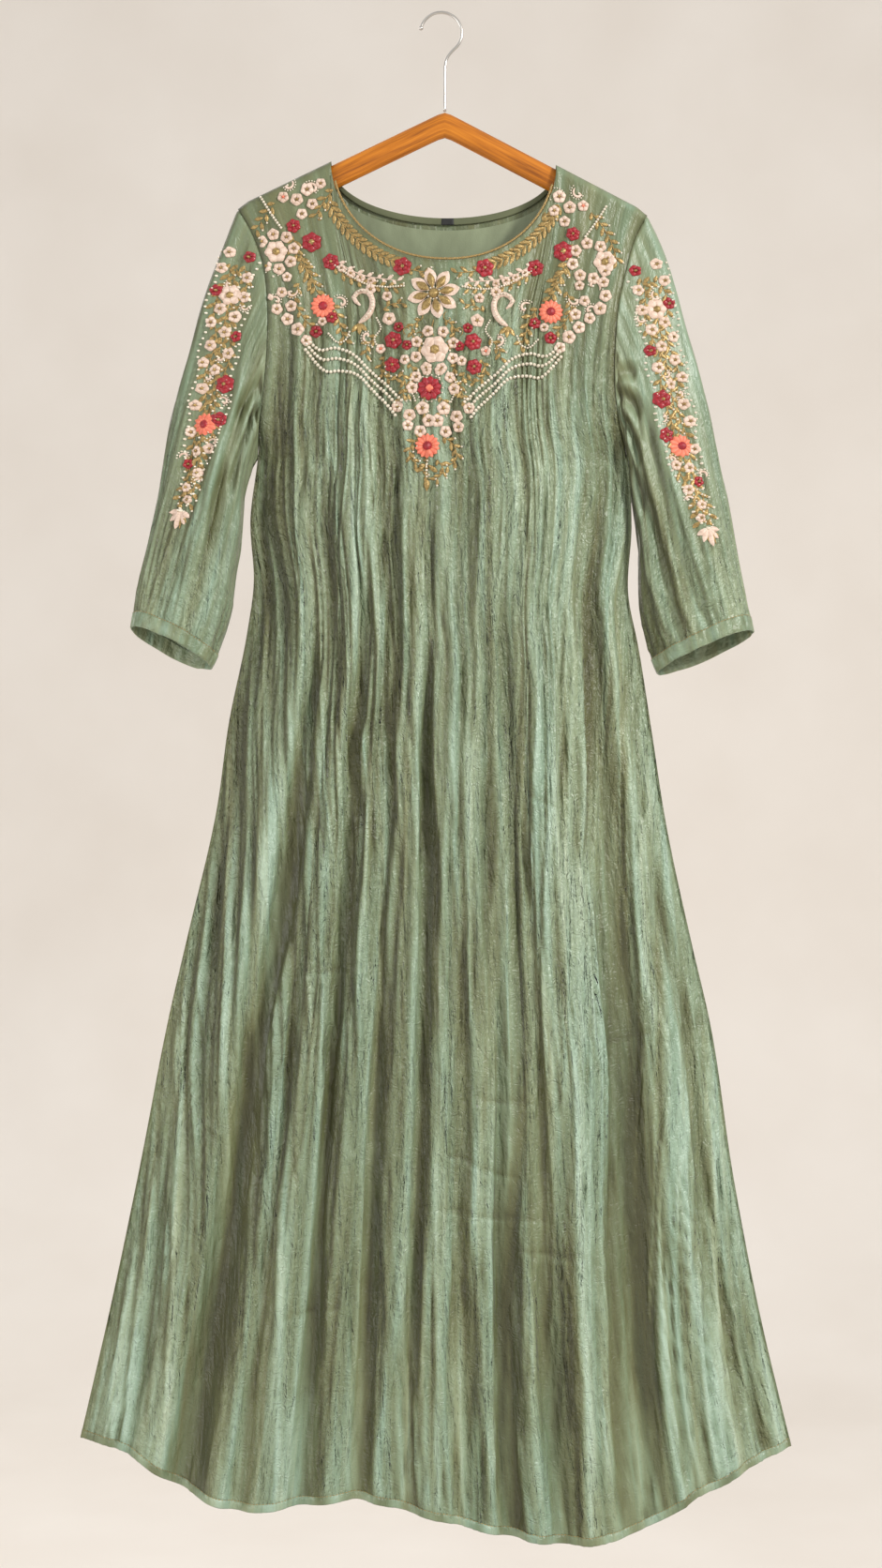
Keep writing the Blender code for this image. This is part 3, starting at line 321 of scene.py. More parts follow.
def foldDepth(folds, s, drop, bottom):
    total = np.zeros_like(s)
    for startAcross, hemAcross, halfWidth, depth, startDrop in folds:
        run = np.clip((drop - startDrop) / (bottom - startDrop), 0.0, 1.0)
        middle = startAcross + (hemAcross - startAcross) * run
        total = total + depth * run**0.75 * bell(s - middle, halfWidth)
    return total * (1.0 - np.abs(s) ** 8)


def panelPoints(panel, layer, columns, drops, finer):  # rows down, columns from left to right
    shape = dressShape
    lining = layer is liningLayer
    bottom = drops[-1]
    topX, topZ = topEdge(panel, layer, columns, finer)
    u = np.linspace(0.0, 1.0, len(topX))[None, :]
    v = (drops / bottom)[:, None]
    leftX = smoothCurve(drops, side["drop"], side["leftX"])
    rightX = smoothCurve(drops, side["drop"], side["rightX"])
    leftZ = smoothCurve(drops, side["drop"], side["leftZ"])
    rightZ = smoothCurve(drops, side["drop"], side["rightZ"])
    if lining:
        inset = smoothCurve(drops, liningFit["below"], liningFit["sideInset"])
        leftX = leftX + inset
        rightX = rightX - inset
    fade = np.clip(1.0 - drops / shape["underarmDrop"], 0.0, 1.0)
    leftZ = leftZ + (topZ[0] - leftZ[0]) * fade
    rightZ = rightZ + (topZ[-1] - rightZ[0]) * fade
    hemZ = smoothCurve(u[0], hemFall["across"], hemFall[panel["side"]]) + layer["hemLift"]
    hemZ = hemZ + (leftZ[-1] - hemZ[0]) * (1.0 - u[0]) + (rightZ[-1] - hemZ[-1]) * u[0]
    settle = ease(0.0, shape["armholeSettled"], drops)
    leftBase = np.where(drops < shape["armholeSettled"], leftX[0] + (leftX - leftX[0]) * settle, leftX)
    rightBase = np.where(drops < shape["armholeSettled"], rightX[0] + (rightX - rightX[0]) * settle, rightX)
    keep = np.exp(-drops[:, None] / shape["spacingFade"])
    share = ((topX - topX[0]) / (topX[-1] - topX[0]))[None, :] * keep + u * (1.0 - keep)
    x = leftBase[:, None] + (rightBase - leftBase)[:, None] * share
    x = x + (leftX - leftBase)[:, None] * (1.0 - u) ** 10 + (rightX - rightBase)[:, None] * u**10
    topCurve = topZ - (topZ[0] + (topZ[-1] - topZ[0]) * u[0])
    hemCurve = hemZ - (hemZ[0] + (hemZ[-1] - hemZ[0]) * u[0])
    z = leftZ[:, None] * (1.0 - u) + rightZ[:, None] * u + hemCurve[None, :] * v
    z = z + topCurve[None, :] * np.exp(-drops[:, None] / shape["neckFade"])
    s = 2.0 * u - 1.0 + 0.0 * v
    drop = drops[:, None] + 0.0 * u
    below = ridgeHeight(x, layer["rise"]) - z
    sideLeft = np.interp(-z, -side["leftZ"], side["leftX"])
    sideRight = np.interp(-z, -side["rightZ"], side["rightX"])
    byWidth = np.clip(x / np.where(x < 0.0, -sideLeft, sideRight), -1.0, 1.0)
    across = byWidth + (s - byWidth) * ease(0.200, 0.500, below)
    section = np.maximum(1.0 - np.abs(across) ** layer["fullness"], 0.0) ** 0.75 * (1.0 - np.abs(s) ** 20)
    roll = rollOver(below, layer["roll"])
    edge = np.maximum(smoothCurve(drop, side["drop"], side[panel["side"] + "Edge"]), 0.0)
    edge = np.where(drop < shape["underarmDrop"], edge, 0.0)
    middle = smoothCurve(below, depthBelow["below"], depthBelow[panel["side"]])
    lean = panel["lean"] * bell(x, shape["leanHalfWidth"]) * (1.0 - ease(0.120, 0.450, below))
    depth = edge * (1.0 - section) + middle * section + lean * roll / layer["roll"]
    folds = panel["folds"]
    if lining:
        fit = smoothCurve(below, liningFit["below"], liningFit["depthShare"])
        depth = depth * fit - smoothCurve(below, liningFit["below"], liningFit["depthInset"]) * section
        folds = liningFolds
    trough = foldDepth(folds, s, drop, bottom)
    depth = depth + roll * (1.0 - ease(0.040, 0.200, below)) - trough
    return np.stack((x, panel["sign"] * depth, z), axis=-1), u + 0.0 * v, share, drop, below, trough


# materials
def linear(r, g, b):  # a colour as read on a screen, 0 to 255
    return tuple(((c / 255.0 + 0.055) / 1.055) ** 2.4 if c > 10 else c / 3294.6 for c in (r, g, b)) + (1.0,)


def newMaterial(name, roughness, metallic=0.0, sheen=0.0, coat=0.0, specular=0.5):
    material = bpy.data.materials.new(name)
    material.use_nodes = True
    shader = material.node_tree.nodes["Principled BSDF"]
    shader.inputs["Roughness"].default_value = roughness
    shader.inputs["Metallic"].default_value = metallic
    shader.inputs["Sheen Weight"].default_value = sheen
    shader.inputs["Sheen Roughness"].default_value = 0.4
    shader.inputs["Coat Weight"].default_value = coat
    shader.inputs["Specular IOR Level"].default_value = specular
    return material, material.node_tree, shader


def put(tree, kind, **values):  # a node with its settings and its plain inputs
    node = tree.nodes.new(kind)
    for key, value in values.items():
        if hasattr(node, key):
            setattr(node, key, value)
        else:
            node.inputs[key.replace("_", " ")].default_value = value
    return node


def stretchedNoise(tree, across, along, detail=3.0, rough=0.55, turn=0.0, distortion=0.0):
    # noise whose grains measure across by along metres on the cloth
    uv = put(tree, "ShaderNodeUVMap", uv_map="cloth")
    turned = put(tree, "ShaderNodeMapping")
    turned.inputs["Rotation"].default_value = (0.0, 0.0, turn)
    mapping = put(tree, "ShaderNodeMapping")
    mapping.inputs["Scale"].default_value = (1.0 / across, 1.0 / along, 1.0)
    grain = put(tree, "ShaderNodeTexNoise", Scale=1.0, Detail=detail, Roughness=rough, Distortion=distortion)
    tree.links.new(uv.outputs["UV"], turned.inputs["Vector"])
    tree.links.new(turned.outputs["Vector"], mapping.inputs["Vector"])
    tree.links.new(mapping.outputs["Vector"], grain.inputs["Vector"])
    return grain.outputs["Fac"]


def math2(tree, operation, a, b):
    node = put(tree, "ShaderNodeMath", operation=operation)
    for socket, value in zip(node.inputs, (a, b)):
        if isinstance(value, (int, float)):
            socket.default_value = value
        else:
            tree.links.new(value, socket)
    return node.outputs[0]


def ramp(tree, source, stops):
    node = put(tree, "ShaderNodeValToRGB")
    elements = node.color_ramp.elements
    for k, (at, colour) in enumerate(stops):
        element = elements[k] if k < 2 else elements.new(at)
        element.position = at
        element.color = linear(*colour)
    tree.links.new(source, node.inputs["Fac"])
    return node.outputs["Color"]


def swing(tree, value, middle, amount):  # a value less its middle, times an amount
    return math2(tree, "MULTIPLY", math2(tree, "SUBTRACT", value, middle), amount)


def mixed(tree, first, share, second):  # two fields laid over each other
    return math2(tree, "ADD", math2(tree, "MULTIPLY", first, share),
                 math2(tree, "MULTIPLY", second, 1.0 - share))


def paint(tree, shader, source, stops):
    tree.links.new(ramp(tree, source, stops), shader.inputs["Base Color"])


def addBump(tree, shader, height, distance, strength=None):  # bumps follow one another
    node = put(tree, "ShaderNodeBump", Distance=distance, Strength=1.0)
    tree.links.new(height, node.inputs["Height"])
    if strength is not None:
        tree.links.new(strength, node.inputs["Strength"])
    normal = shader.inputs["Normal"]
    if normal.is_linked:
        tree.links.new(normal.links[0].from_socket, node.inputs["Normal"])
    tree.links.new(node.outputs["Normal"], normal)


silkLook = {
    "cool": ((0.00, (56, 64, 40)), (0.25, (84, 96, 68)), (0.50, (108, 126, 98)), (0.75, (130, 153, 130)),
             (1.00, (162, 184, 164))),
    "warm": ((0.00, (62, 62, 32)), (0.25, (92, 94, 58)), (0.50, (116, 121, 86)), (0.75, (142, 151, 116)),
             (1.00, (176, 184, 152))),
    "roughness": (0.46, 0.34),
    "streak": 0.24,
    "slub": 0.07,
    "thread": 0.08,
    # the field that crosses these bounds is the shot noise plus the tone's painted shade
    "hue": (0.30, 0.70),                  # where the shot field turns from cool to warm
    "swirl": (0.0030, 0.0100, 0.0008),    # width, length and height of the finest puckers
    "crease": (0.0040, 0.066, 0.0016),
    "wrinkle": (0.0086, 0.140, 0.0046),
    "slubHeight": 0.00015,
}


def crinkle(tree, width, length, turn, detail=3.0, distortion=0.5):  # sharp creases as a texture, 0 to 1
    field = stretchedNoise(tree, width * 2.6, length, detail, 0.5, turn, distortion)
    away = math2(tree, "ABSOLUTE", math2(tree, "SUBTRACT", field, 0.5), 0.0)
    return math2(tree, "SUBTRACT", 1.0, math2(tree, "MINIMUM", math2(tree, "MULTIPLY", away, 5.0), 1.0))


def silkMaterial(name, look):
    material, tree, shader = newMaterial(name, 0.42, sheen=0.12, specular=0.55)
    tone = put(tree, "ShaderNodeAttribute", attribute_name="tone").outputs["Fac"]
    busy = put(tree, "ShaderNodeAttribute", attribute_name="busy").outputs["Fac"]
    wrinkle, crease, swirl, streak = look["wrinkle"], look["crease"], look["swirl"], look["streak"]
    long = crinkle(tree, wrinkle[0], wrinkle[1], 0.0)
    fine = crinkle(tree, crease[0], crease[1], 0.12)
    crossed = crinkle(tree, crease[0] * 1.6, crease[1] * 0.7, -0.35)
    puckers = crinkle(tree, swirl[0], swirl[1], 0.5, 2.0, 1.6)
    cloud = stretchedNoise(tree, 0.030, 0.110, 4.0, 0.6, 0.0, 0.8)
    slub = stretchedNoise(tree, 0.030, 0.0009, 2.0, 0.6)
    thread = stretchedNoise(tree, 0.0006, 0.020, 2.0, 0.6)
    # painted shade and highlight: the crinkle texture darkens the long creases and lightens the ridges of the
    # fine ones
    lines = math2(tree, "ADD", swing(tree, 0.40, long, streak * 0.22), swing(tree, fine, 0.35, streak * 0.36))
    shade = tone
    for part in (swing(tree, cloud, 0.5, streak * 1.3), math2(tree, "MULTIPLY", lines, busy),
                 swing(tree, slub, 0.5, look["slub"]), swing(tree, thread, 0.5, look["thread"])):
        shade = math2(tree, "ADD", shade, part)
    shot = stretchedNoise(tree, 0.016, 0.330, 4.0, 0.6, 0.0, 0.6)  # the warp and weft show in turn
    hue = put(tree, "ShaderNodeMapRange")
    hue.inputs["From Min"].default_value = look["hue"][0]
    hue.inputs["From Max"].default_value = look["hue"][1]
    # the hue also follows the tone, so cloth carrying painted shade turns towards the warm ramp
    tree.links.new(math2(tree, "ADD", shot, swing(tree, 0.5, tone, 0.30)), hue.inputs["Value"])
    blend = put(tree, "ShaderNodeMix", data_type="RGBA")
    tree.links.new(hue.outputs["Result"], blend.inputs[0])
    tree.links.new(ramp(tree, shade, look["cool"]), blend.inputs[6])
    tree.links.new(ramp(tree, shade, look["warm"]), blend.inputs[7])
    tree.links.new(blend.outputs[2], shader.inputs["Base Color"])
    gloss = put(tree, "ShaderNodeMapRange")
    gloss.inputs["To Min"].default_value = look["roughness"][0]
    gloss.inputs["To Max"].default_value = look["roughness"][1]
    tree.links.new(shade, gloss.inputs["Value"])
    tree.links.new(gloss.outputs["Result"], shader.inputs["Roughness"])
    addBump(tree, shader, math2(tree, "SUBTRACT", 1.0, long), wrinkle[2], busy)
    addBump(tree, shader, fine, crease[2], busy)
    addBump(tree, shader, crossed, crease[2] * 0.4, busy)
    addBump(tree, shader, puckers, swirl[2], busy)
    addBump(tree, shader, slub, look["slubHeight"])
    return material


liningLook = {"colours": ((112, 120, 92), (132, 142, 112)), "grain": 0.0006, "weave": 0.00012}
facingLook = {"colours": ((76, 82, 54), (98, 103, 72)), "grain": 0.0008, "weave": 0.00012}
labelLook = {"colours": ((12, 12, 12), (26, 26, 25)), "grain": 0.0005, "weave": 0.00012}


def wovenMaterial(name, look, roughness=0.6):  # plain woven cloth
    material, tree, shader = newMaterial(name, roughness, sheen=0.15)
    cloud = stretchedNoise(tree, 0.020, 0.060, 3.0)
    paint(tree, shader, cloud, ((0.3, look["colours"][0]), (0.7, look["colours"][1])))
    grain = look["grain"]
    addBump(tree, shader, stretchedNoise(tree, grain, grain * 6.0, 1.0), look["weave"])
    addBump(tree, shader, stretchedNoise(tree, grain * 6.0, grain, 1.0), look["weave"])
    return material


threadLooks = {
    "cream": {"colours": ((182, 152, 130), (236, 214, 198)), "rough": 0.40, "metal": 0.0, "coat": 0.0},
    "gold": {"colours": ((84, 66, 30), (190, 160, 100)), "rough": 0.34, "metal": 0.40, "coat": 0.0},
    "coral": {"colours": ((206, 92, 70), (240, 142, 112)), "rough": 0.45, "metal": 0.0, "coat": 0.0},
    "crimson": {"colours": ((104, 6, 16), (176, 22, 40)), "rough": 0.42, "metal": 0.0, "coat": 0.1},
    "pearl": {"colours": ((205, 192, 168), (240, 232, 216)), "rough": 0.20, "metal": 0.0, "coat": 0.6},
}


def threadMaterial(name, look):  # satin stitch: fine threads laid side by side
    material, tree, shader = newMaterial(name, look["rough"], look["metal"], sheen=0.1, coat=look["coat"])
    strands = stretchedNoise(tree, 0.0004, 0.006, 2.0, 0.6)
    cloud = stretchedNoise(tree, 0.003, 0.004, 2.0)
    stops = ((0.32, look["colours"][0]), (0.66, look["colours"][1]))
    paint(tree, shader, mixed(tree, strands, 0.5, cloud), stops)
    if look["coat"] < 0.5:
        addBump(tree, shader, strands, 0.00025)
    return material


woodLook = {"colours": ((124, 66, 10), (178, 104, 20), (204, 126, 32)), "coat": 0.10}


def woodMaterial(name, look):
    material, tree, shader = newMaterial(name, 0.50, coat=look["coat"], specular=0.3)
    grain = stretchedNoise(tree, 0.060, 0.0016, 5.0, 0.6)
    broad = stretchedNoise(tree, 0.110, 0.008, 2.0)
    stops = ((0.34, look["colours"][0]), (0.50, look["colours"][1]), (0.66, look["colours"][2]))
    paint(tree, shader, mixed(tree, grain, 0.6, broad), stops)
    addBump(tree, shader, grain, 0.00015)
    return material


def steelMaterial(name):
    material, tree, shader = newMaterial(name, 0.28, metallic=1.0)
    scratch = stretchedNoise(tree, 0.012, 0.0006, 3.0)
    paint(tree, shader, scratch, ((0.3, (176, 172, 166)), (0.7, (214, 210, 204))))
    addBump(tree, shader, scratch, 0.00003)
    return material


silk = silkMaterial("crushedSilk", silkLook)
liningCloth = wovenMaterial("liningCloth", liningLook, 0.48)
facingCloth = wovenMaterial("facingCloth", facingLook)
labelCloth = wovenMaterial("labelCloth", labelLook)
threads = {kind: threadMaterial(kind + "Thread", look) for kind, look in threadLooks.items()}
wood = woodMaterial("varnishedWood", woodLook)
steel = steelMaterial("hookSteel")
print("materials made")


# the crushed silk's creases
crushLook = {
    "coarse": (34.0, 1.7, 0.0025),   # creases a metre across, a metre down, and height
    "medium": (70.0, 5.2, 0.0011),
    "sharp": (24.0, 1.5, 0.0028),
    "valley": (98.0, 5.2, 0.0021),
    "ridge": (78.0, 4.0, 0.0020),
    "wander": 0.012,
}
# u and drop at both ends, half width and depth in metres; a negative depth is a raised crease
frontCreases = (
    (0.190, 0.34, 0.143, 1.18, 0.0085, 0.0052),
    (0.205, 0.46, 0.165, 0.98, 0.0045, 0.0022),
    (0.125, 0.50, 0.112, 0.86, 0.0110, -0.0034),
    (0.300, 0.26, 0.315, 1.16, 0.0080, 0.0038),
    (0.335, 0.40, 0.325, 1.05, 0.0040, 0.0020),
    (0.385, 0.20, 0.395, 1.18, 0.0050, 0.0028),
    (0.420, 0.28, 0.405, 0.86, 0.0040, 0.0020),
    (0.462, 0.22, 0.470, 1.12, 0.0075, 0.0034),
    (0.500, 0.30, 0.490, 0.78, 0.0045, 0.0022),
    (0.540, 0.34, 0.545, 1.18, 0.0040, 0.0018),
    (0.610, 0.28, 0.603, 1.18, 0.0070, 0.0036),
    (0.655, 0.22, 0.668, 1.14, 0.0095, 0.0044),
    (0.690, 0.36, 0.680, 0.92, 0.0040, 0.0016),
    (0.905, 0.24, 0.800, 1.16, 0.0125, 0.0058),
    (0.870, 0.34, 0.760, 1.18, 0.0055, 0.0028),
    (0.950, 0.36, 0.950, 1.16, 0.0050, 0.0022),
    (0.010, 0.44, 0.130, 0.82, 0.0060, 0.0026),
    (0.020, 0.56, 0.100, 0.96, 0.0060, 0.0022),
    (0.030, 0.74, 0.070, 1.16, 0.0060, 0.0022),
    (0.245, 0.40, 0.255, 1.16, 0.0100, -0.0024),
    (0.455, 0.50, 0.440, 1.14, 0.0060, -0.0016),
    (0.560, 0.46, 0.565, 1.16, 0.0100, -0.0022),
    (0.730, 0.36, 0.735, 1.16, 0.0150, -0.0030),
    (0.865, 0.50, 0.860, 1.16, 0.0110, -0.0026),
)
frontFoldMarks = (  # short creases across, from folding away: u at both ends, drop, slant, depth
    (0.690, 0.770, 0.530, 0.016, 0.0014),
    (0.560, 0.680, 0.800, -0.008, 0.0012),
    (0.500, 0.640, 0.862, 0.012, 0.0014),
    (0.480, 0.700, 0.905, -0.010, 0.0014),
    (0.620, 0.760, 0.932, 0.004, 0.0012),
    (0.220, 0.330, 0.700, 0.006, 0.0010),
    (0.250, 0.360, 1.010, -0.006, 0.0011),
    (0.800, 0.900, 0.760, 0.010, 0.0010),
)
backCreases = (
    (0.060, 0.40, 0.090, 1.16, 0.0060, 0.0024),
    (0.130, 0.34, 0.150, 1.10, 0.0055, 0.0026),
    (0.205, 0.28, 0.195, 1.18, 0.0100, 0.0046),
    (0.260, 0.40, 0.270, 1.00, 0.0100, -0.0024),
    (0.330, 0.22, 0.340, 1.18, 0.0055, 0.0028),
    (0.400, 0.30, 0.390, 0.96, 0.0045, 0.0020),
    (0.470, 0.24, 0.475, 1.18, 0.0085, 0.0042),
    (0.530, 0.36, 0.540, 1.10, 0.0100, -0.0022),
    (0.605, 0.24, 0.620, 1.18, 0.0055, 0.0028),
    (0.690, 0.34, 0.680, 1.05, 0.0100, -0.0024),
    (0.745, 0.30, 0.760, 1.18, 0.0095, 0.0044),
    (0.830, 0.40, 0.835, 1.12, 0.0050, 0.0024),
    (0.895, 0.42, 0.910, 1.18, 0.0060, 0.0026),
    (0.955, 0.50, 0.950, 1.10, 0.0050, 0.0020),
)
backFoldMarks = (
    (0.300, 0.420, 0.560, 0.010, 0.0012),
    (0.520, 0.660, 0.790, -0.008, 0.0012),
    (0.350, 0.520, 0.930, 0.008, 0.0013),
    (0.700, 0.820, 0.640, 0.006, 0.0010),
)


# painted light: this light direction is painted into the silk's tone through facing
clothLight = {"way": (0.52, 0.76, 0.38), "flat": 0.93}  # flat: what a plain part of the front gets


def facing(outward):  # how far the cloth looks at the light, front and back alike
    way = clothLight["way"]
    lit = way[0] * outward[..., 0] + way[1] * np.abs(outward[..., 1]) + way[2] * outward[..., 2]
    return lit - way[1] * clothLight["flat"]


def crushed(across, down, seed):  # height of the small creases, in metres
    wandered = across + crushLook["wander"] * noise(across * 7.0, down * 2.0, seed)

    def creaseLines(kind, order, power=1):
        perAcross, perDown, height = crushLook[kind]
        lines = crest(wandered * perAcross, down * perDown, seed + order)
        return height * (lines if power == 1 else np.maximum(lines, 0.0) ** power)

    lift = creaseLines("coarse", 1) + creaseLines("medium", 2) - creaseLines("sharp", 3, 2)
    lift = lift - creaseLines("valley", 5, 2) + creaseLines("ridge", 6, 3)
    patch = 0.78 + 0.42 * noise(across * 6.0, down * 2.2, seed + 4)  # calmer and busier places
    return lift * np.clip(patch, 0.30, 1.15)


creaseLook = {
    "scale": 1.35,       # how deep the placed creases go beside their tables
    "foldScale": 0.6,
    "wander": 0.006,
    "banks": 0.32,       # the raised cloth on both sides of a crease
}


def placedCreases(creases, foldMarks, u, drop, width, seed):
    lift = np.zeros_like(u)
    mark = np.zeros_like(u)  # where the cloth was folded away
    for n, (u0, drop0, u1, drop1, halfWidth, depth) in enumerate(creases):
        t = (drop - drop0) / (drop1 - drop0)
        along = np.clip(t, 0.0, 1.0)
        middle = u0 + (u1 - u0) * along + creaseLook["wander"] * noise(drop * 6.0, n * 3.7, seed)
        distance = (u - middle) * width
        run = ease(0.0, 0.18, along) * (1.0 - ease(0.88, 1.0, along) * 0.7) * (t > 0.0) * (t < 1.02)
        uneven = 0.75 + 0.45 * noise(drop * 5.0, n * 5.3, seed + 1)
        w = halfWidth * (0.85 + 0.3 * noise(drop * 4.0, n * 7.1, seed + 2))
        profile = bell(distance, w) - creaseLook["banks"] * bell(np.abs(distance) - 1.9 * w, w * 0.8)
        lift = lift - creaseLook["scale"] * depth * run * uneven * profile
    for n, (u0, u1, at, slant, depth) in enumerate(foldMarks):
        t = (u - u0) / (u1 - u0)
        line = at + slant * (t - 0.5) + 0.0015 * noise(u * 60.0, n, seed + 5)
        run = ease(0.0, 0.2, np.clip(t, 0, 1)) * (1.0 - ease(0.8, 1.0, np.clip(t, 0, 1)))
        distance = drop - line
        profile = bell(distance, 0.0028) - 0.6 * bell(distance - 0.006, 0.004)
        lift = lift - creaseLook["foldScale"] * depth * run * profile
        # the mark later paints shade along each fold mark and in a broader band just above it
        mark = mark + run * (bell(distance, 0.0026) + 0.35 * bell(distance + 0.010, 0.009))
    return lift, mark


panelLook = {
    "rowStep": 0.0036,
    "backRows": 1.15,      # the back's rows lie this much further apart
    "seamGroove": 0.0010,
    "seamPucker": 0.0006,
    "ripple": 0.0030,      # broad unevenness of the hang
    "width": 0.66,         # the cut's width near the hem
    "hemCalm": 1.170,      # below this drop the creases ease off towards the hem
    "linedTo": (1.084, 1.092),
    "deepFold": (0.006, 0.016),
}
toneLook = {
    "base": 0.48,
    # painted shade and highlight: the next five amounts darken the creases, fold marks and deep folds and lighten
    # the crease crests
    "small": 84.0,         # for each metre of a small crease's height
    "large": 52.0,
    "foldMark": 0.11,
    "trough": 11.0,
    "troughMost": 0.20,
    # painted light: how far the cloth faces the light
    "light": 0.75,
    "yoke": 0.17,
    # painted light: the next two amounts make the cloth lighter towards the sides and on the lower left
    "sides": 0.20,
    "lowerLeftLight": 0.07,
    "patch": 0.09,
    "sheer": 0.06,         # paler where the silk hangs past its lining
    "seam": 0.30,
    "topEdge": 0.12,
}
liningRows = {"step": 0.0085, "columns": 24, "finer": 4, "bottom": 1.090, "clear": 0.0013}


def dropRows(step, bottom):
    first = np.linspace(0.0, 0.012, 13)
    second = np.linspace(0.012, 0.050, 17)[1:]
    count = int(round((bottom - 0.050) / step))
    return np.concatenate((first, second, np.linspace(0.050, bottom, count + 1)[1:]))


def liningPoints(panel):
    drops = dropRows(liningRows["step"], liningRows["bottom"])
    return panelPoints(panel, liningLayer, liningRows["columns"], drops, liningRows["finer"])


def roomBehind(panel, points, outward):  # how far the cloth may go in before it meets the lining
    lining = liningPoints(panel)[0]
    tree = BVHTree.FromPolygons(lining.reshape(-1, 3).tolist(), gridQuads(*lining.shape[:2]).tolist())
    room = np.full(points.shape[:2], 1.0)
    for place in np.ndindex(*room.shape):
        hit = tree.ray_cast(Vector(points[place]), Vector(-outward[place]), 0.03)
        if hit[0] is not None:
            room[place] = hit[3]
    for way in ((1, 0), (1, 1), (-1, 0), (-1, 1), (2, 0), (2, 1), (-2, 0), (-2, 1)):
        room = np.minimum(room, np.roll(room, way[0], axis=way[1]))  # the least of the places around
    return np.maximum(room - liningRows["clear"], 0.0)


def silkPanel(panel, creases, foldMarks, seed, step):
    drops = dropRows(step, dressShape["sideDrop"])
    underarm = dressShape["underarmDrop"]  # one row meets the underarm
    drops = np.sort(np.append(drops[np.abs(drops - underarm) > 0.001], underarm))
    points, u, share, drop, below, trough = panelPoints(
        panel, silkLayer, panel["columns"], drops, panel["finer"])
    flip = panel["side"] == "back"
    outward = outwardOf(points, False, flip)
    width = smoothCurve(drop, side["drop"], side["rightX"]) - smoothCurve(drop, side["drop"], side["leftX"])
    spread = panelLook["width"] * (0.55 + 0.45 * ease(0.0, dressShape["sideDrop"], drop))
    across = (share - 0.5) * spread
    fromSide = np.minimum(u, 1.0 - u) * width
    fromTop = np.sqrt((points[:, :, 0] - points[:1, :, 0]) ** 2 + (points[:, :, 2] - points[:1, :, 2]) ** 2)
    free = ease(0.0, 0.012, fromSide) * ease(0.0, 0.016, fromTop) * (0.25 + 0.75 * ease(0.05, 0.30, below))
    free = free * (1.0 - 0.5 * ease(panelLook["hemCalm"], dressShape["sideDrop"], drop))
    uneven = 0.80 + 0.35 * noise(share * 7.0, drop * 2.4, seed + 70)
    busy = 0.30 + 0.70 * ease(0.06, 0.26, below) * uneven
    busy = busy * (1.0 - 0.55 * ease(0.004, 0.012, trough))  # the deep folds are smooth inside
    small = crushed(across, drop, seed) * free
    large, mark = placedCreases(creases, foldMarks, share, drop, width, seed + 40)
    large = large * ease(0.0, 0.010, fromSide)
    ripple = panelLook["ripple"] * noise((share - 0.5) * 16.0, drop * 5.0, seed + 60) * free
    groove = -panelLook["seamGroove"] * bell(fromSide, 0.0022)
    pucker = panelLook["seamPucker"] * noise(drop * 110.0, u * 4.0, seed + 61) * bell(fromSide - 0.004, 0.005)
    lift = small + large + ripple + groove + pucker
    lift = np.where(lift < 0.0, lift * ease(0.014, 0.060, fromTop), lift)
    deep = 0.92 * ease(*panelLook["deepFold"], trough) * ease(0.85, 1.02, drop)
    lift = np.where(lift < 0.0, lift * (1.0 - deep), lift)
    lift = np.maximum(lift, -0.8 * roomBehind(panel, points, outward))
    points = points + outward * lift[:, :, None]
    outward = outwardOf(points, False, flip)
    look = toneLook
    # painted shade and highlight: the tone is darker in the small and placed creases and lighter on their crests,
    # darker along the fold marks and inside the deep folds, and carries painted light from how far the cloth
    # faces the light
    tone = look["base"] + small * look["small"] + large * look["large"] - look["foldMark"] * mark
    tone = tone - np.minimum(trough * look["trough"], look["troughMost"]) + look["light"] * facing(outward)
    tone = tone - look["yoke"] * (1.0 - ease(0.08, 0.30, below))
    # painted light: lighter towards both sides lower down and on the lower left
    tone = tone + look["sides"] * ease(0.3, 0.9, drop) * np.abs(share - 0.5)
    tone = tone + look["lowerLeftLight"] * ease(0.45, 0.90, drop) * (1.0 - ease(0.25, 0.45, share))
    tone = tone + look["patch"] * noise((share - 0.5) * 34.0, drop * 1.6, seed + 62)
    tone = tone + look["patch"] * noise(share * 9.0, drop * 2.6, seed + 63)
    unevenDrop = drop + 0.004 * noise(share * 20.0, drop, seed + 64)
    tone = tone + look["sheer"] * ease(*panelLook["linedTo"], unevenDrop)
    tone = tone - look["seam"] * bell(fromSide, 0.0016) - look["topEdge"] * bell(fromTop, 0.0020)
    return {"points": points, "outward": outward, "tone": np.clip(tone, 0.02, 1.0),
            "busy": np.clip(busy, 0.15, 1.0), "uv": np.stack((across, drop), axis=-1),
            "drops": drops, "flip": flip}


def sewPanel(name, node, cloth):
    rows, columns = cloth["points"].shape[:2]
    piece = makeMesh(name, cloth["points"], gridQuads(rows, columns, flip=cloth["flip"]), silk,
                     cloth["uv"], {"tone": cloth["tone"], "busy": cloth["busy"]})
    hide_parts(node)
    return piece


front = silkPanel(frontPanel, frontCreases, frontFoldMarks, 11, panelLook["rowStep"])
print("front cloth area", round(sheetArea(front["points"]), 3), front["points"].shape)
frontPiece = sewPanel("frontPanelSilk", "front_panel", front)
back = silkPanel(backPanel, backCreases, backFoldMarks, 23, panelLook["rowStep"] * panelLook["backRows"])
print("back cloth area", round(sheetArea(back["points"]), 3), back["points"].shape)
backPiece = sewPanel("backPanelSilk", "back_panel", back)
print("panels made")


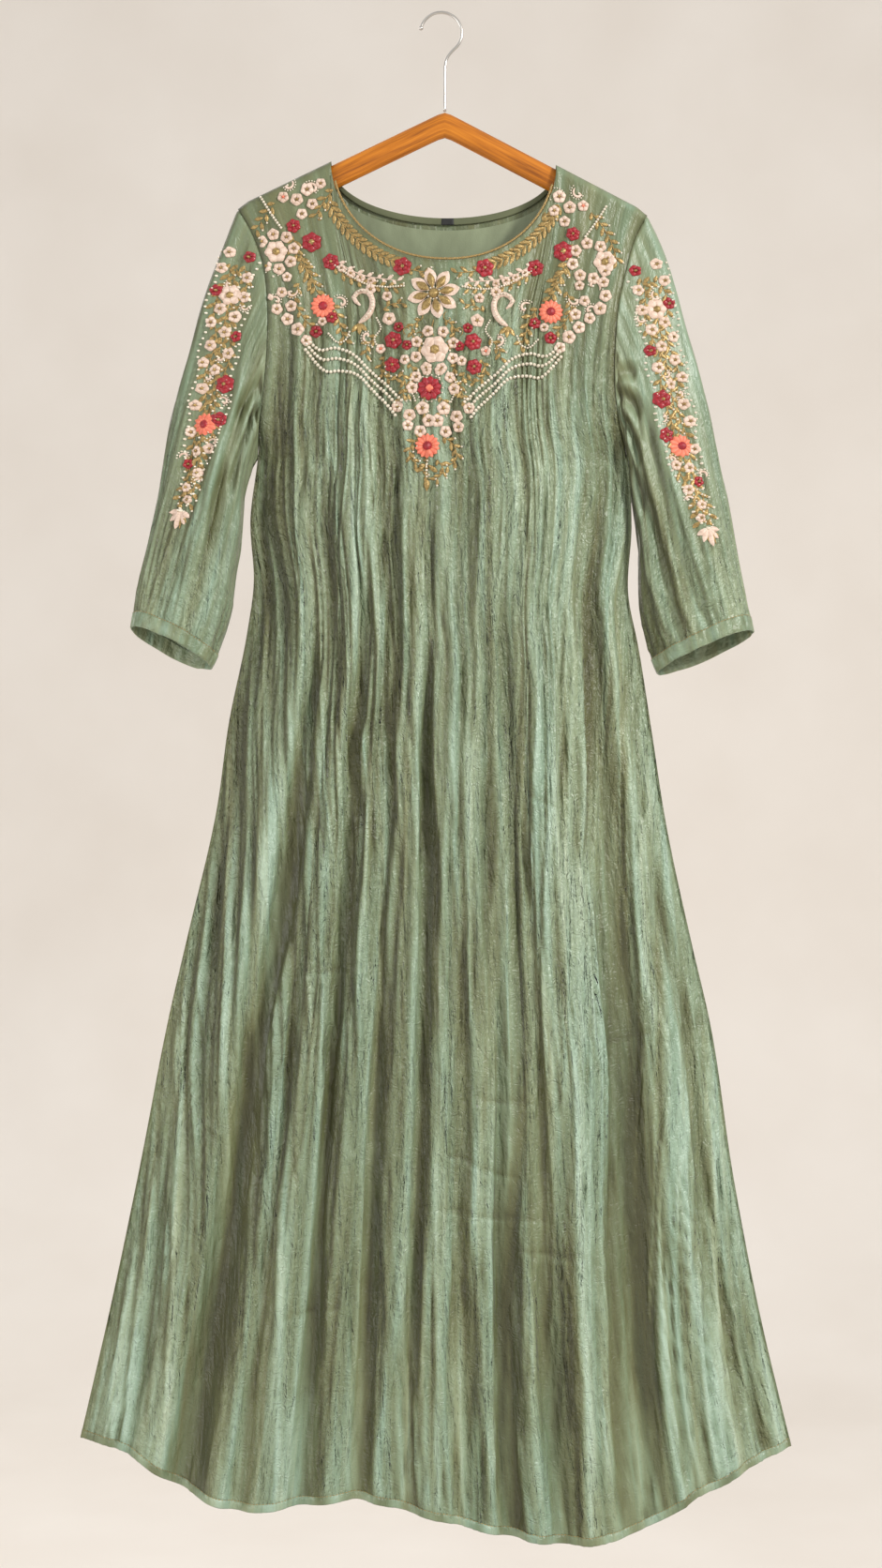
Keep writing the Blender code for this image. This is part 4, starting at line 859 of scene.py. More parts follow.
# sleeves
# folds: angle at both ends, half width in degrees, depth, and the share where the fold starts
# drapes: angle and share at both ends, half width in degrees, depth
sleeveCuts = {
    "left": {
        "cuffCentre": (-0.2605, 0.002, -0.6125),
        "cuffOut": (-0.0385, 0.0, 0.0185),
        "cuffFront": (0.0, -0.031, 0.009),
        "startMean": (-0.110, 0.0, -0.205),
        "startSwing": (-0.045, 0.0, -0.125),
        "endMean": (-0.095, 0.0, -0.285),
        "endSwing": (0.010, 0.0, -0.115),
        "folds": ((118, 128, 14, 0.005, 0.30), (62, 74, 12, 0.004, 0.45), (205, 215, 16, 0.005, 0.35),
                  (285, 300, 16, 0.004, 0.30)),
        "drapes": ((128, 0.02, 96, 0.34, 5.0, 0.0030), (140, 0.10, 118, 0.52, 5.0, 0.0026),
                   (150, 0.03, 122, 0.24, 4.0, 0.0026), (104, 0.42, 112, 0.98, 6.0, 0.0034),
                   (70, 0.40, 78, 0.90, 6.0, 0.0018), (40, 0.30, 56, 0.80, 7.0, 0.0014),
                   (88, 0.20, 84, 0.62, 5.0, -0.0016), (232, 0.08, 205, 0.60, 7.0, 0.0026),
                   (262, 0.20, 270, 0.90, 7.0, 0.0022), (300, 0.30, 318, 0.86, 8.0, 0.0018)),
        "paler": 1.0,
        "seed": 71,
    },
    "right": {
        "cuffCentre": (0.2555, 0.002, -0.6165),
        "cuffOut": (0.0465, 0.0, 0.0195),
        "cuffFront": (0.0, -0.032, 0.008),
        "startMean": (0.107, 0.0, -0.205),
        "startSwing": (0.045, 0.0, -0.125),
        "endMean": (0.090, 0.0, -0.290),
        "endSwing": (-0.005, 0.0, -0.115),
        "folds": ((128, 116, 13, 0.006, 0.25), (84, 92, 12, 0.005, 0.40), (150, 152, 10, 0.004, 0.35),
                  (225, 235, 16, 0.005, 0.35), (290, 300, 16, 0.004, 0.30)),
        "drapes": ((132, 0.02, 100, 0.30, 4.5, 0.0034), (142, 0.06, 120, 0.40, 4.5, 0.0032),
                   (152, 0.10, 134, 0.54, 4.5, 0.0030), (120, 0.02, 88, 0.20, 4.0, 0.0024),
                   (126, 0.36, 118, 0.98, 6.0, 0.0034), (98, 0.30, 100, 0.92, 6.0, 0.0026),
                   (66, 0.34, 74, 0.86, 6.5, 0.0018), (42, 0.28, 52, 0.74, 7.0, 0.0014),
                   (228, 0.06, 204, 0.56, 7.0, 0.0026), (258, 0.20, 266, 0.92, 7.0, 0.0022),
                   (302, 0.30, 316, 0.84, 8.0, 0.0018)),
        "paler": 0.4,
        "seed": 97,
    },
}


def sleevePoints(cut, loop, shares, band):  # shares from the armhole to the sleeve's end; band gives the cuff
    centre, outwardWay, forward = (np.array(cut[k]) for k in ("cuffCentre", "cuffOut", "cuffFront"))
    step = np.linalg.norm(np.roll(loop, -1, axis=0) - loop, axis=1)
    half = len(loop) // 2
    frontShare = np.concatenate(([0.0], np.cumsum(step[:half]))) / step[:half].sum()
    backShare = np.concatenate(([0.0], np.cumsum(step[half:])))[:-1] / step[half:].sum()
    angle = math.pi * np.concatenate((frontShare[:-1], 1.0 + backShare))
    c = np.cos(angle)[:, None]
    s = np.sin(angle)[:, None]
    end = centre + outwardWay * c + forward * s
    startWay = np.array(cut["startMean"]) + np.array(cut["startSwing"]) * c
    endWay = np.array(cut["endMean"]) + np.array(cut["endSwing"]) * c
    bandShare = 1.0 - dressShape["cuffBand"] / np.linalg.norm(end - loop, axis=1)
    grid = []
    place = []
    for share in shares:
        t = (bandShare + (1.0 - bandShare) * share if band else bandShare * share)[:, None]
        point = (2 * t**3 - 3 * t**2 + 1) * loop + (t**3 - 2 * t**2 + t) * startWay
        point = point + (-2 * t**3 + 3 * t**2) * end + (t**3 - t**2) * endWay
        inward = point.mean(axis=0) - point
        inward = inward / np.linalg.norm(inward, axis=1)[:, None]
        depth = np.zeros(len(loop))
        for startAngle, endAngle, halfWidth, fold, startShare in cut["folds"]:
            run = np.clip((t[:, 0] - startShare) / (1.0 - startShare), 0.0, 1.0)
            at = np.radians(startAngle + (endAngle - startAngle) * run)
            hump = np.sin(math.pi * np.minimum(run * 0.75, 1.0))
            depth = depth + fold * hump * bell(angle - at, math.radians(halfWidth))
        grid.append(point + inward * depth[:, None])
        place.append(t[:, 0])
    return np.array(grid), np.degrees(angle)[None, :] + np.zeros((len(shares), 1)), np.array(place)


sleeveLook = {
    "girth": 0.21,
    "length": 0.43,
    "drapes": 1.45,         # how wide and deep the drapes are beside their tables
    "crush": (0.30, 0.45),  # small creases everywhere, and more of them towards the cuff
    "ripple": 0.0022,
    "seamGroove": 0.0010,
    "base": 0.48,
    # painted shade and highlight: small and large set how much the creases and drapes darken and their crests
    # lighten; light sets the painted light from facing
    "small": 42.0,
    "large": 30.0,
    "light": 0.60,
    "patch": 0.12,
    "seam": 0.34,
    "lower": 0.16,
}


def drapeLift(cut, angle, t, seed):
    lift = np.zeros_like(angle)
    for n, (a0, t0, a1, t1, halfWidth, depth) in enumerate(cut["drapes"]):
        halfWidth = halfWidth * sleeveLook["drapes"]
        depth = depth * sleeveLook["drapes"]
        run = (t - t0) / (t1 - t0)
        along = np.clip(run, 0.0, 1.0)
        at = a0 + (a1 - a0) * along + 3.0 * noise(t * 7.0, n * 3.1, seed)
        window = ease(0.0, 0.15, along) * (1.0 - ease(0.80, 1.0, along)) * (run > 0) * (run < 1)
        profile = bell(angle - at, halfWidth) - 0.35 * bell(np.abs(angle - at) - 1.9 * halfWidth, halfWidth)
        lift = lift - depth * window * profile
    return lift


def armholeLoop(sideName):  # down the front's edge and up the back's
    picked = np.linspace(0.0, 1.0, 91) ** 1.25 * dressShape["underarmDrop"]
    edges = []
    for cloth in (front, back):
        rows = np.where(cloth["drops"] <= dressShape["underarmDrop"] + 1e-6)[0]
        edge = cloth["points"][rows, 0 if sideName == "left" else -1]
        edges.append(pickAlong(picked, cloth["drops"][rows], edge))
    return np.concatenate((edges[0], edges[1][-2:0:-1]))


sleeves = {}
for sideName, cut in sleeveCuts.items():
    look = sleeveLook
    loop = armholeLoop(sideName)
    shares = np.concatenate((np.linspace(0.0, 0.03, 7), np.linspace(0.03, 1.0, 150)[1:]))
    points, angle, t = sleevePoints(cut, loop, shares, False)
    flip = sideName == "right"
    outward = outwardOf(points, True, flip)
    free = ease(0.0, 0.05, t) * (1.0 - 0.5 * ease(0.93, 0.98, t))
    around = angle / 360.0 * look["girth"]
    small = crushed(around * 1.6, t * look["length"], cut["seed"]) * free
    small = small * (look["crush"][0] + look["crush"][1] * ease(0.35, 0.80, t))
    large = drapeLift(cut, angle, t, cut["seed"] + 5)
    wave = np.cos(np.radians(angle)) * 2.0
    ripple = look["ripple"] * noise(wave + 9.0, t * 5.0, cut["seed"] + 9) * free
    lift = small + large + ripple - look["seamGroove"] * bell(t, 0.006)
    points = points + outward * lift[:, :, None]
    # painted shade and highlight: the sleeve's tone is darker in its creases and drapes and lighter on their
    # crests, with painted light from how far the cloth faces the light
    tone = look["base"] + small * look["small"] + large * look["large"]
    tone = tone + look["light"] * facing(outwardOf(points, True, flip))
    tone = tone + look["patch"] * noise(wave * 2.0, t * 2.4, cut["seed"] + 7)
    tone = tone - look["seam"] * bell(t, 0.005) + look["lower"] * ease(0.45, 1.0, t) * cut["paler"]
    busy = 0.34 + 0.55 * ease(0.35, 0.80, t) + 0.20 * noise(wave * 1.5, t * 3.0, cut["seed"] + 15)
    columns = points.shape[1]
    piece = makeMesh(sideName + "SleeveSilk", points, gridQuads(len(points), columns, True, flip), silk,
                     np.stack((around + 0.7, t * look["length"]), axis=-1),
                     {"tone": np.clip(tone, 0.02, 1.0), "busy": np.clip(busy, 0.15, 1.0)})
    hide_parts("sleeve_" + sideName)
    # cuff: the turned band, a little thicker than the sleeve, with its edge rolled inside
    cuffRoute = ((0.00, 0.0001), (0.02, 0.0006), (0.25, 0.0007), (0.50, 0.0007), (0.75, 0.0007),
                 (0.96, 0.0006), (1.00, 0.0000), (0.97, -0.0007), (0.70, -0.0008), (0.35, -0.0008),
                 (0.00, -0.0008))
    band, angle, t = sleevePoints(cut, loop, [share for share, rise in cuffRoute], True)
    bandOut = outwardOf(sleevePoints(cut, loop, np.linspace(0.0, 1.0, 11), True)[0], True, flip)
    carried = lift[-1][None, :] * np.array([1.0 - share * 0.5 for share, rise in cuffRoute])[:, None]
    rises = np.array([rise for share, rise in cuffRoute])[:, None] + carried
    band = band + bandOut[5][None, :, :] * rises[:, :, None]
    cuffTone = 0.60 + 0.16 * noise(angle / 9.0, t * 30.0, cut["seed"] + 12)
    uv = np.stack((angle / 360.0 * look["girth"], t * look["length"]), axis=-1)
    cuff = makeMesh(sideName + "CuffBand", band, gridQuads(len(cuffRoute), columns, True, flip), silk, uv,
                    {"tone": np.clip(cuffTone, 0.02, 1.0), "busy": np.full_like(cuffTone, 0.5)})
    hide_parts("cuff_band_" + sideName)
    sleeves[sideName] = {"piece": piece, "points": points, "cuff": cuff, "cuffRing": (band[1], bandOut[5])}
    print(sideName, "sleeve area", round(sheetArea(np.concatenate((points, points[:, :1]), axis=1)), 3))
print("sleeves made")


# lining, seen in the neck and below
for panel, seed in ((frontPanel, 131), (backPanel, 137)):
    points, u, _, drop, _, _ = liningPoints(panel)
    flip = panel["side"] == "back"
    outward = outwardOf(points, False, flip)
    lift = 0.0005 * noise((u - 0.5) * 26.0, drop * 7.0, seed) * ease(0.02, 0.10, drop)
    points = points + outward * lift[:, :, None]
    uv = np.stack(((u - 0.5) * 0.6, drop), axis=-1)
    rows, columns = points.shape[:2]
    piece = makeMesh(panel["side"] + "LiningCloth", points, gridQuads(rows, columns, flip=flip),
                     liningCloth, uv)
    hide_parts(panel["side"] + "_lining")
    panel["lining"] = piece
    print(panel["side"], "lining area", round(sheetArea(points), 3))
print("lining made")


# neck: piping, binding and bare label
def tubeAlong(route, radius, sides):  # points and faces of a round tube
    route = np.asarray(route, float)
    radius = np.broadcast_to(np.asarray(radius, float), (len(route),))
    way = np.gradient(route, axis=0)
    way = way / np.maximum(np.linalg.norm(way, axis=1, keepdims=True), 1e-12)
    first = np.cross(way[0], (0.13, 0.94, 0.31))
    frames = []
    for k in range(len(route)):
        first = first - way[k] * first.dot(way[k])
        first = first / np.linalg.norm(first)
        frames.append((first, np.cross(way[k], first)))
    turn = np.linspace(0.0, 2.0 * math.pi, sides, endpoint=False)
    points = []
    for at, size, (a, b) in zip(route, radius, frames):
        points.append(at + size * (np.outer(np.cos(turn), a) + np.outer(np.sin(turn), b)))
    points = np.array(points)
    length = np.broadcast_to(runLength(route)[:, None], points.shape[:2])
    around = np.broadcast_to(turn[None, :] * radius.mean(), points.shape[:2])
    uv = np.stack((length, around), axis=-1)
    return points.reshape(-1, 3), tubeFaces(len(route), sides), uv.reshape(-1, 2)


pipingCut = {"start": 7, "radius": 0.00125, "lift": 0.0005, "twist": 0.0042, "silkWall": 0.0012, "sides": 10}
first = (silkLayer["shoulder"] + pipingCut["start"]) * frontPanel["finer"]
columns = np.arange(first, front["points"].shape[1] - first)
edge = front["points"][0]
route = []
for k in columns:
    along = edge[k + 1] - edge[k - 1]
    up = np.cross(along / np.linalg.norm(along), front["outward"][1, k])
    up = up / np.linalg.norm(up)
    up = up if up.dot(edge[k] - front["points"][10, k]) > 0.0 else -up
    route.append(edge[k] - front["outward"][1, k] * pipingCut["silkWall"] / 2
                 + up * (pipingCut["radius"] + pipingCut["lift"]))
sides = pipingCut["sides"]
fine = pickAlong(np.linspace(0, 1, 900), np.linspace(0, 1, len(route)), np.array(route))
points, quads, uv = tubeAlong(fine, 1.0, sides)
turn = np.linspace(0.0, 2.0 * math.pi, sides, endpoint=False)
twist = np.cos(2.0 * turn[None, :] - runLength(fine)[:, None] / pipingCut["twist"] * 2.0 * math.pi)
radius = pipingCut["radius"] * (0.90 + 0.10 * twist)  # two strands laid round each other
middle = fine.repeat(sides, axis=0)
points = middle + (points - middle) * radius.reshape(-1, 1)
piping = makeMesh("neckPiping", points, quads, threads["gold"], uv)
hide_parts("neck_piping")

bindingCut = {"start": 4, "lift": 0.0015, "wall": 0.0010, "girth": 0.009, "length": 0.24}
first = (silkLayer["shoulder"] + bindingCut["start"]) * backPanel["finer"]
columns = np.arange(first, back["points"].shape[1] - first + 1)
edge = back["points"][0, columns]
wayDown = back["points"][9, columns] - edge
wayDown = wayDown / np.linalg.norm(wayDown, axis=1, keepdims=True)
inward = -back["outward"][1, columns]
section = ((0.0003, 0.0), (0.0003, 0.5), (0.0006, 0.9), (0.0012, 1.0), (0.0030, 1.05), (0.0050, 1.05),
           (0.0064, 1.0), (0.0069, 0.8), (0.0070, 0.4), (0.0070, 0.0))
binding = np.array([edge + wayDown * down + inward * (bindingCut["lift"] + bindingCut["wall"] * wall)
                    for down, wall in section])
uv = np.stack(np.meshgrid(np.linspace(0, bindingCut["girth"], len(section)),
                          np.linspace(0, bindingCut["length"], len(columns)), indexing="ij"), axis=-1)
piece = makeMesh("neckBinding", binding, gridQuads(*binding.shape[:2]), facingCloth, uv)
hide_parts("back_neck_facing")

labelCut = {"size": (0.0120, 0.0065), "wall": 0.0006, "lift": 0.0004, "curl": 0.0004, "cells": 14}
middle = len(columns) // 2
centre = (binding[4, middle] + binding[5, middle]) / 2 + inward[middle] * labelCut["lift"] * 0.5
along = binding[4, middle + 4] - binding[4, middle - 4]
along = along / np.linalg.norm(along)
cells = labelCut["cells"]
grid = []
uvGrid = []
for j in range(cells + 1):
    for i in range(cells + 1):
        a, b = 2.0 * i / cells - 1.0, 2.0 * j / cells - 1.0
        edgeLift = labelCut["wall"] * (1.0 - max(abs(a), abs(b)) ** 10)
        curl = labelCut["curl"] * (a * a) * (0.4 + 0.6 * b)
        grid.append(centre + along * a * labelCut["size"][0] / 2
                    + wayDown[middle] * b * labelCut["size"][1] / 2 + inward[middle] * (edgeLift + curl))
        uvGrid.append((a * 0.006, b * 0.003))
label = makeMesh("neckLabel", grid, gridQuads(cells + 1, cells + 1), labelCloth, uvGrid)
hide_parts("neck_label")
print("neck made")


# hanger
hangerCut = {
    "reach": (-0.184, 0.186), "halfDepth": 0.006, "height": 0.0239, "rounding": 0.012, "endShare": 0.55,
    "section": ((0.20, 0.0), (0.70, -0.12), (1.0, -0.36), (1.0, -0.70), (0.73, -0.91), (0.20, -1.0)),
}
half = np.array([(y * hangerCut["halfDepth"], z * hangerCut["height"]) for y, z in hangerCut["section"]])
outline = np.concatenate((np.stack((-half[:, 0], half[:, 1]), axis=1), half[::-1]))
count = len(outline)
fineOutline = []
for k in range(count):  # rounds the section through its corner points
    corners = [outline[(k + n) % count] for n in (-1, 0, 1, 2)]
    fineOutline += [throughPoints(*corners, t) for t in (0.0, 0.25, 0.5, 0.75)]
fineOutline = np.array(fineOutline)
low, high = hangerCut["reach"]
apexX = dressShape["apex"][0]
ends = hangerCut["rounding"] * (1.0 - np.cos(np.linspace(0.0, math.pi / 2, 9)))
xs = np.concatenate((
    low + ends[:-1], np.linspace(low + hangerCut["rounding"], apexX - 0.012, 30),
    [apexX - 0.006, apexX - 0.002, apexX, apexX + 0.002, apexX + 0.006],
    np.linspace(apexX + 0.012, high - hangerCut["rounding"], 30), (high - ends[:-1])[::-1]))
rings = []
uvs = []
for x in xs:
    near = min(x - low, high - x, hangerCut["rounding"]) / hangerCut["rounding"]
    full = math.sqrt(max(1.0 - (1.0 - near) ** 2, 0.0))
    share = hangerCut["endShare"] + (1.0 - hangerCut["endShare"]) * full
    top = float(ridgeHeight(np.array(x), 0.0)) - 0.0012 * math.exp(-((x - apexX) / 0.004) ** 2)
    mid = -hangerCut["height"] / 2
    rings.append([(x, y * share, top + mid + (z - mid) * share) for y, z in fineOutline])
    uvs.append([(x * 1.12, 0.05 * n / len(fineOutline)) for n in range(len(fineOutline))])
rings = np.array(rings)
arms = makeMesh("hangerArms", rings, tubeFaces(*rings.shape[:2]), wood, np.array(uvs))
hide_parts("hanger_wood")

hookCut = {
    "wire": 0.0015, "bend": 0.020, "tip": 166.0, "turn": -48.0, "ball": 0.0023, "stemX": 0.0036,
    "neckZ": -0.056,
}
centreZ = hookCut["wire"] - hookCut["bend"]
route = []
for angle in np.radians(np.linspace(hookCut["tip"], hookCut["turn"], 72)):
    route.append((hookCut["bend"] * math.cos(angle), 0.0, centreZ + hookCut["bend"] * math.sin(angle)))
turn = math.radians(hookCut["turn"])
start = np.array(route[-1])
last = np.array((hookCut["stemX"], 0.0, hookCut["neckZ"]))
one = start + np.array((math.sin(turn), 0.0, -math.cos(turn))) * 0.012
two = last + np.array((0.0, 0.0, 0.010))
for t in np.linspace(0.0, 1.0, 25)[1:]:
    route.append(tuple(start * (1 - t) ** 3 + one * 3 * t * (1 - t) ** 2
                       + two * 3 * t * t * (1 - t) + last * t**3))
for z in np.linspace(hookCut["neckZ"], dressShape["apex"][1] + 0.0003, 16)[1:]:
    route.append((hookCut["stemX"], 0.0, z))
head = np.array(route[0]) - np.array(route[1])
head = head / np.linalg.norm(head)
ballAngles = np.radians(np.linspace(4.0, 150.0, 12))
ballRoute = [tuple(np.array(route[0]) + head * hookCut["ball"] * math.cos(a)) for a in ballAngles]
radii = [hookCut["ball"] * math.sin(a) for a in ballAngles] + [hookCut["wire"]] * len(route)
points, quads, uv = tubeAlong(ballRoute + route[1:], radii[:len(ballRoute) + len(route) - 1], 18)
hook = makeMesh("hangerHook", points, quads, steel, uv)
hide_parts("hanger_hook")
print("hanger made")


# hems and stitches
hemCut = {"rows": 2, "lift": 0.0005, "edge": 0.0004}
for panel, cloth in ((frontPanel, front), (backPanel, back)):
    p, n = cloth["points"], cloth["outward"]
    last = p.shape[0] - 1
    order = [(last - hemCut["rows"], 0.2), (last - hemCut["rows"] + 0.06, 1.0)]
    order += [(last - k, 1.15) for k in range(hemCut["rows"] - 1, 0, -1)] + [(last - 0.12, 1.1), (last, 0.5)]
    order += [(last, -0.5), (last - 0.12, -1.1), (last - 1, -1.15), (last - hemCut["rows"], -1.0)]
    band = []
    marks = []
    for row, lift in order:
        k = int(math.floor(row))
        f = row - k
        k2 = min(k + 1, last)
        band.append(p[k] * (1 - f) + p[k2] * f + n[k] * lift * hemCut["lift"])
        marks.append(cloth["uv"][k])
    band = np.array(band)
    band[4:6, :, 2] = band[4:6, :, 2] - hemCut["edge"]
    uv = np.array(marks)
    tone = 0.62 + 0.42 * noise(uv[:, :, 0] * 64.0, uv[:, :, 1] * 20.0 + 3.0, 301)
    piece = makeMesh(panel["side"] + "HemBand", band, gridQuads(*band.shape[:2], flip=cloth["flip"]), silk,
                     uv, {"tone": np.clip(tone, 0.05, 1.0), "busy": np.full_like(tone, 0.5)})
    panel["hem"] = piece


stitchCut = {"spacing": 0.0032, "length": 0.0021, "radius": 0.00028}


def stitchRow(line, outward):  # short raised threads along a line of points
    length = runLength(line)
    spacing, radius = stitchCut["spacing"], stitchCut["radius"]
    points = []
    quads = []
    for at in np.arange(spacing * 0.5, length[-1] - spacing, spacing):
        places = at + np.linspace(0.0, stitchCut["length"], 4)
        centre = pickAlong(places, length, line)
        up = pickAlong(places, length, outward)
        sideways = np.cross(centre[-1] - centre[0], up[0])
        sideways = sideways / max(np.linalg.norm(sideways), 1e-12)
        quads.append(gridQuads(4, 4) + len(points))
        for k, hump in enumerate((0.1, 1.0, 1.0, 0.1)):
            for w, h in ((-1.0, 0.0), (-0.6, 0.8), (0.6, 0.8), (1.0, 0.0)):
                points.append(centre[k] + sideways * w * radius + up[k] * radius * h * hump)
    return np.array(points), np.concatenate(quads)


def sewStitches(name, rows):
    points = []
    quads = []
    for line, outward in rows:
        p, q = stitchRow(line, outward)
        quads.append(q + sum(len(x) for x in points))
        points.append(p)
    points = np.concatenate(points)
    piece = makeMesh(name, points, np.concatenate(quads), threads["gold"], points[:, (0, 2)])
    return piece


stitchLines = []
for cloth in (front, back):
    row = cloth["points"].shape[0] - 1 - hemCut["rows"]
    stitchLines.append((cloth["points"][row] + cloth["outward"][row] * 0.0004, cloth["outward"][row]))
hemStitches = sewStitches("hemStitches", stitchLines)
stitchLines = []
for item in sleeves.values():
    ring, outward = item["cuffRing"]
    outward = np.concatenate((outward, outward[:1]))
    stitchLines.append((np.concatenate((ring, ring[:1])) + outward * 0.0002, outward))
sewStitches("cuffStitches", stitchLines)
print("hems made")


# embroidery: shapes drawn flat, then settled onto the cloth
def newWork():
    return {kind: {"points": [], "faces": [], "uv": []} for kind in threadLooks}


def addGrid(work, kind, grid, uv, closed=False):  # grid of (x, z, lift)
    part = work[kind]
    rows, columns = grid.shape[:2]
    part["points"].append(grid.reshape(-1, 3))
    part["uv"].append(uv.reshape(-1, 2))
    part["faces"].append(gridQuads(rows, columns, closed))


def petal(work, kind, x, z, angle, length, width, rise, start=0.0, point=0.8, base=0.0002, dip=0.0):
    t = np.linspace(0.0, 1.0, 7)[:, None]
    q = np.linspace(-1.0, 1.0, 6)[None, :]
    wide = width / 2 * np.sin(math.pi * np.clip(t, 0.02, 0.985) ** point) ** 0.75
    along = start + t * length + 0.0 * q
    over = q * wide
    lift = base + rise * (1.0 - q * q) ** 0.7 * np.sin(math.pi * (0.08 + 0.84 * t)) ** 0.6
    lift = lift - dip * np.exp(-(q / 0.3) ** 2)
    c, s = math.cos(angle), math.sin(angle)
    grid = np.stack((x + along * c - over * s, z + along * s + over * c, lift), axis=-1)
    uv = np.stack((along + x, over * 0.6 + z + t * width * 0.3), axis=-1)
    addGrid(work, kind, grid, uv)


def dome(work, kind, x, z, radius, rise, base=0.0002, sides=10, rings=4):
    turn = np.linspace(0.0, 2.0 * math.pi, sides, endpoint=False)[None, :]
    r = np.linspace(0.04, 1.0, rings)[:, None]
    lift = base + rise * np.sqrt(np.maximum(1.0 - r**2.4, 0.0)) + 0.0 * turn
    uv = np.stack((x + radius * r * np.cos(turn), z + radius * r * np.sin(turn)), axis=-1)
    addGrid(work, kind, np.concatenate((uv, lift[:, :, None]), axis=-1), uv, True)


def bead(work, x, z, radius=0.0011, kind="pearl"):
    dome(work, kind, x, z, radius, radius * 1.7, 0.0001, 8, 4)


def smoothPath(points, count):  # passes through each point
    points = np.array(points, float)
    padded = np.concatenate((2 * points[:1] - points[1:2], points, 2 * points[-1:] - points[-2:-1]))
    at = np.linspace(0.0, len(points) - 1.0, count)
    k = np.minimum(at.astype(int), len(points) - 2)
    t = (at - k)[:, None]
    return throughPoints(*(padded[k + n] for n in range(4)), t)


def evenPath(path, spacing):  # points at even steps, and the direction at each
    path = np.asarray(path)
    length = runLength(path)
    count = max(int(length[-1] / spacing), 1)
    even = pickAlong(np.linspace(0.0, length[-1], count + 1), length, path)
    way = np.gradient(even, axis=0) if count > 1 else np.repeat(even[1:] - even[:1], 2, axis=0)
    return even, np.arctan2(way[:, 1], way[:, 0])


def cordLine(work, kind, path, radius, taper=(1.0, 1.0)):
    even, heading = evenPath(path, max(radius * 1.6, 0.0010))
    share = np.linspace(0.0, 1.0, len(even))[:, None]
    wide = radius * (taper[0] + (taper[1] - taper[0]) * share)
    wide = wide * np.minimum(1.0, 0.35 + 6.0 * np.minimum(share, 1 - share))  # thin at both ends
    q = np.linspace(0.0, math.pi, 5)[None, :]
    over = np.cos(q) * wide
    lift = 0.0001 + np.sin(q) * wide * 1.1
    x = even[:, :1] - np.sin(heading)[:, None] * over
    z = even[:, 1:] + np.cos(heading)[:, None] * over
    uv = np.stack((share * 0.004 * len(even) * 0.3 + 0.0 * over, over + even[:, 1:]), axis=-1)
    addGrid(work, kind, np.stack((x, z, lift), axis=-1), uv)


def beadLine(work, path, spacing=0.0030, radius=0.0011, kind="pearl"):
    for x, z in evenPath(path, spacing)[0]:
        bead(work, x, z, radius, kind)


def fringe(work, x, z, radius, count, size=0.0010, kind="pearl"):  # a ring of beads
    for n in range(count):
        angle = 2.0 * math.pi * n / count
        bead(work, x + radius * math.cos(angle), z + radius * math.sin(angle), size, kind)


def leaf(work, x, z, angle, length, width, kind="gold"):
    petal(work, kind, x, z, angle, length * 1.12, width * 1.15, 0.0012, 0.0, 1.15, 0.0002, 0.0004)


vineCut = {"stem": 0.0005, "spread": 0.75, "reach": 1.1}  # reach: from a leaf's foot to its bead, in leaves


def vine(work, path, spacing, length, width, kind="gold"):  # leaves by turns, and a bead at every second one
    cordLine(work, kind, path, vineCut["stem"])
    for k, ((x, z), way) in enumerate(zip(*evenPath(path, spacing))):
        turn = way + (vineCut["spread"] if k % 2 else -vineCut["spread"])
        leaf(work, x, z, turn, length * (0.88 + 0.12 * (k % 3)), width, kind)
        if k % 2 == 1:
            reach = vineCut["reach"] * length
            bead(work, x + reach * math.cos(turn), z + reach * math.sin(turn))


def flower(work, x, z, radius, kind, petals=6, turn=0.3, heart="pearl", rise=0.0030):
    many = petals > 8
    big = radius > 0.0095
    wide = radius * (1.95 if petals < 7 else 1.55) * math.sin(math.pi / petals) * 1.12
    for n in range(petals):
        petal(work, kind, x, z, turn + 2.0 * math.pi * n / petals, radius * 0.82,
              wide * (1.25 if many else 0.84), rise * 0.75, radius * 0.18, 1.35 if many else 1.10, 0.0002, 0.0003)
    if kind == "crimson" and radius > 0.0068:  # folded petals inside
        for n in range(4):
            petal(work, kind, x, z, turn + 0.5 + math.pi * n / 2.0, radius * 0.46, wide * 0.55, rise * 0.6,
                  radius * 0.10, 1.0, 0.0016)
    core = 0.44 if kind == "coral" else 0.38 if big else 0.26
    dome(work, "gold" if heart == "pearl" else heart, x, z, radius * core, rise, 0.0005)
    if big:
        fringe(work, x, z, radius * (core + 0.05), petals + 2, radius * 0.07,
               "pearl" if heart == "pearl" else "gold")
    bead(work, x, z, radius * 0.16, heart if big else "pearl")


def garland(work, path, radius, spacing=2.05):  # small flowers side by side
    for k, (x, z) in enumerate(evenPath(path, radius * spacing)[0]):
        flower(work, x, z, radius * (0.92 + 0.08 * (k % 3)), "cream", 5, 0.3 + k * 0.7)


def posy(work, x, z, reach, count, radius, start):  # small flowers round a place
    for n in range(count):
        angle = math.radians(start + 360.0 * n / count)
        flower(work, x + reach * math.cos(angle), z + reach * math.sin(angle), radius, "cream", 5, angle)


def scroll(work, x, z, size, hand, turn, kind, thick):  # a small spiral scroll
    t = np.linspace(0.0, 1.0, 26)
    r = size * (0.12 + 0.88 * t**1.15) * 0.55
    angle = turn + hand * (4.6 * (1.0 - t))
    path = np.stack((x + r * np.cos(angle), z + r * np.sin(angle)), axis=1)
    cordLine(work, kind, path, thick, (1.25, 0.6))
    if kind == "cream":
        outer = r + thick * 1.9
        outerPath = np.stack((x + outer * np.cos(angle), z + outer * np.sin(angle)), axis=1)
        beadLine(work, outerPath[6:], 0.0026, 0.0008)
    bead(work, x, z, thick * 0.9)


commaPath = ((1.5, -4.0), (5.0, -1.0), (8.0, 4.0), (2.5, 10.0), (-6.0, 9.0), (-10.0, 1.0), (-9.0, -8.0),
             (-4.0, -16.0), (3.0, -21.0))


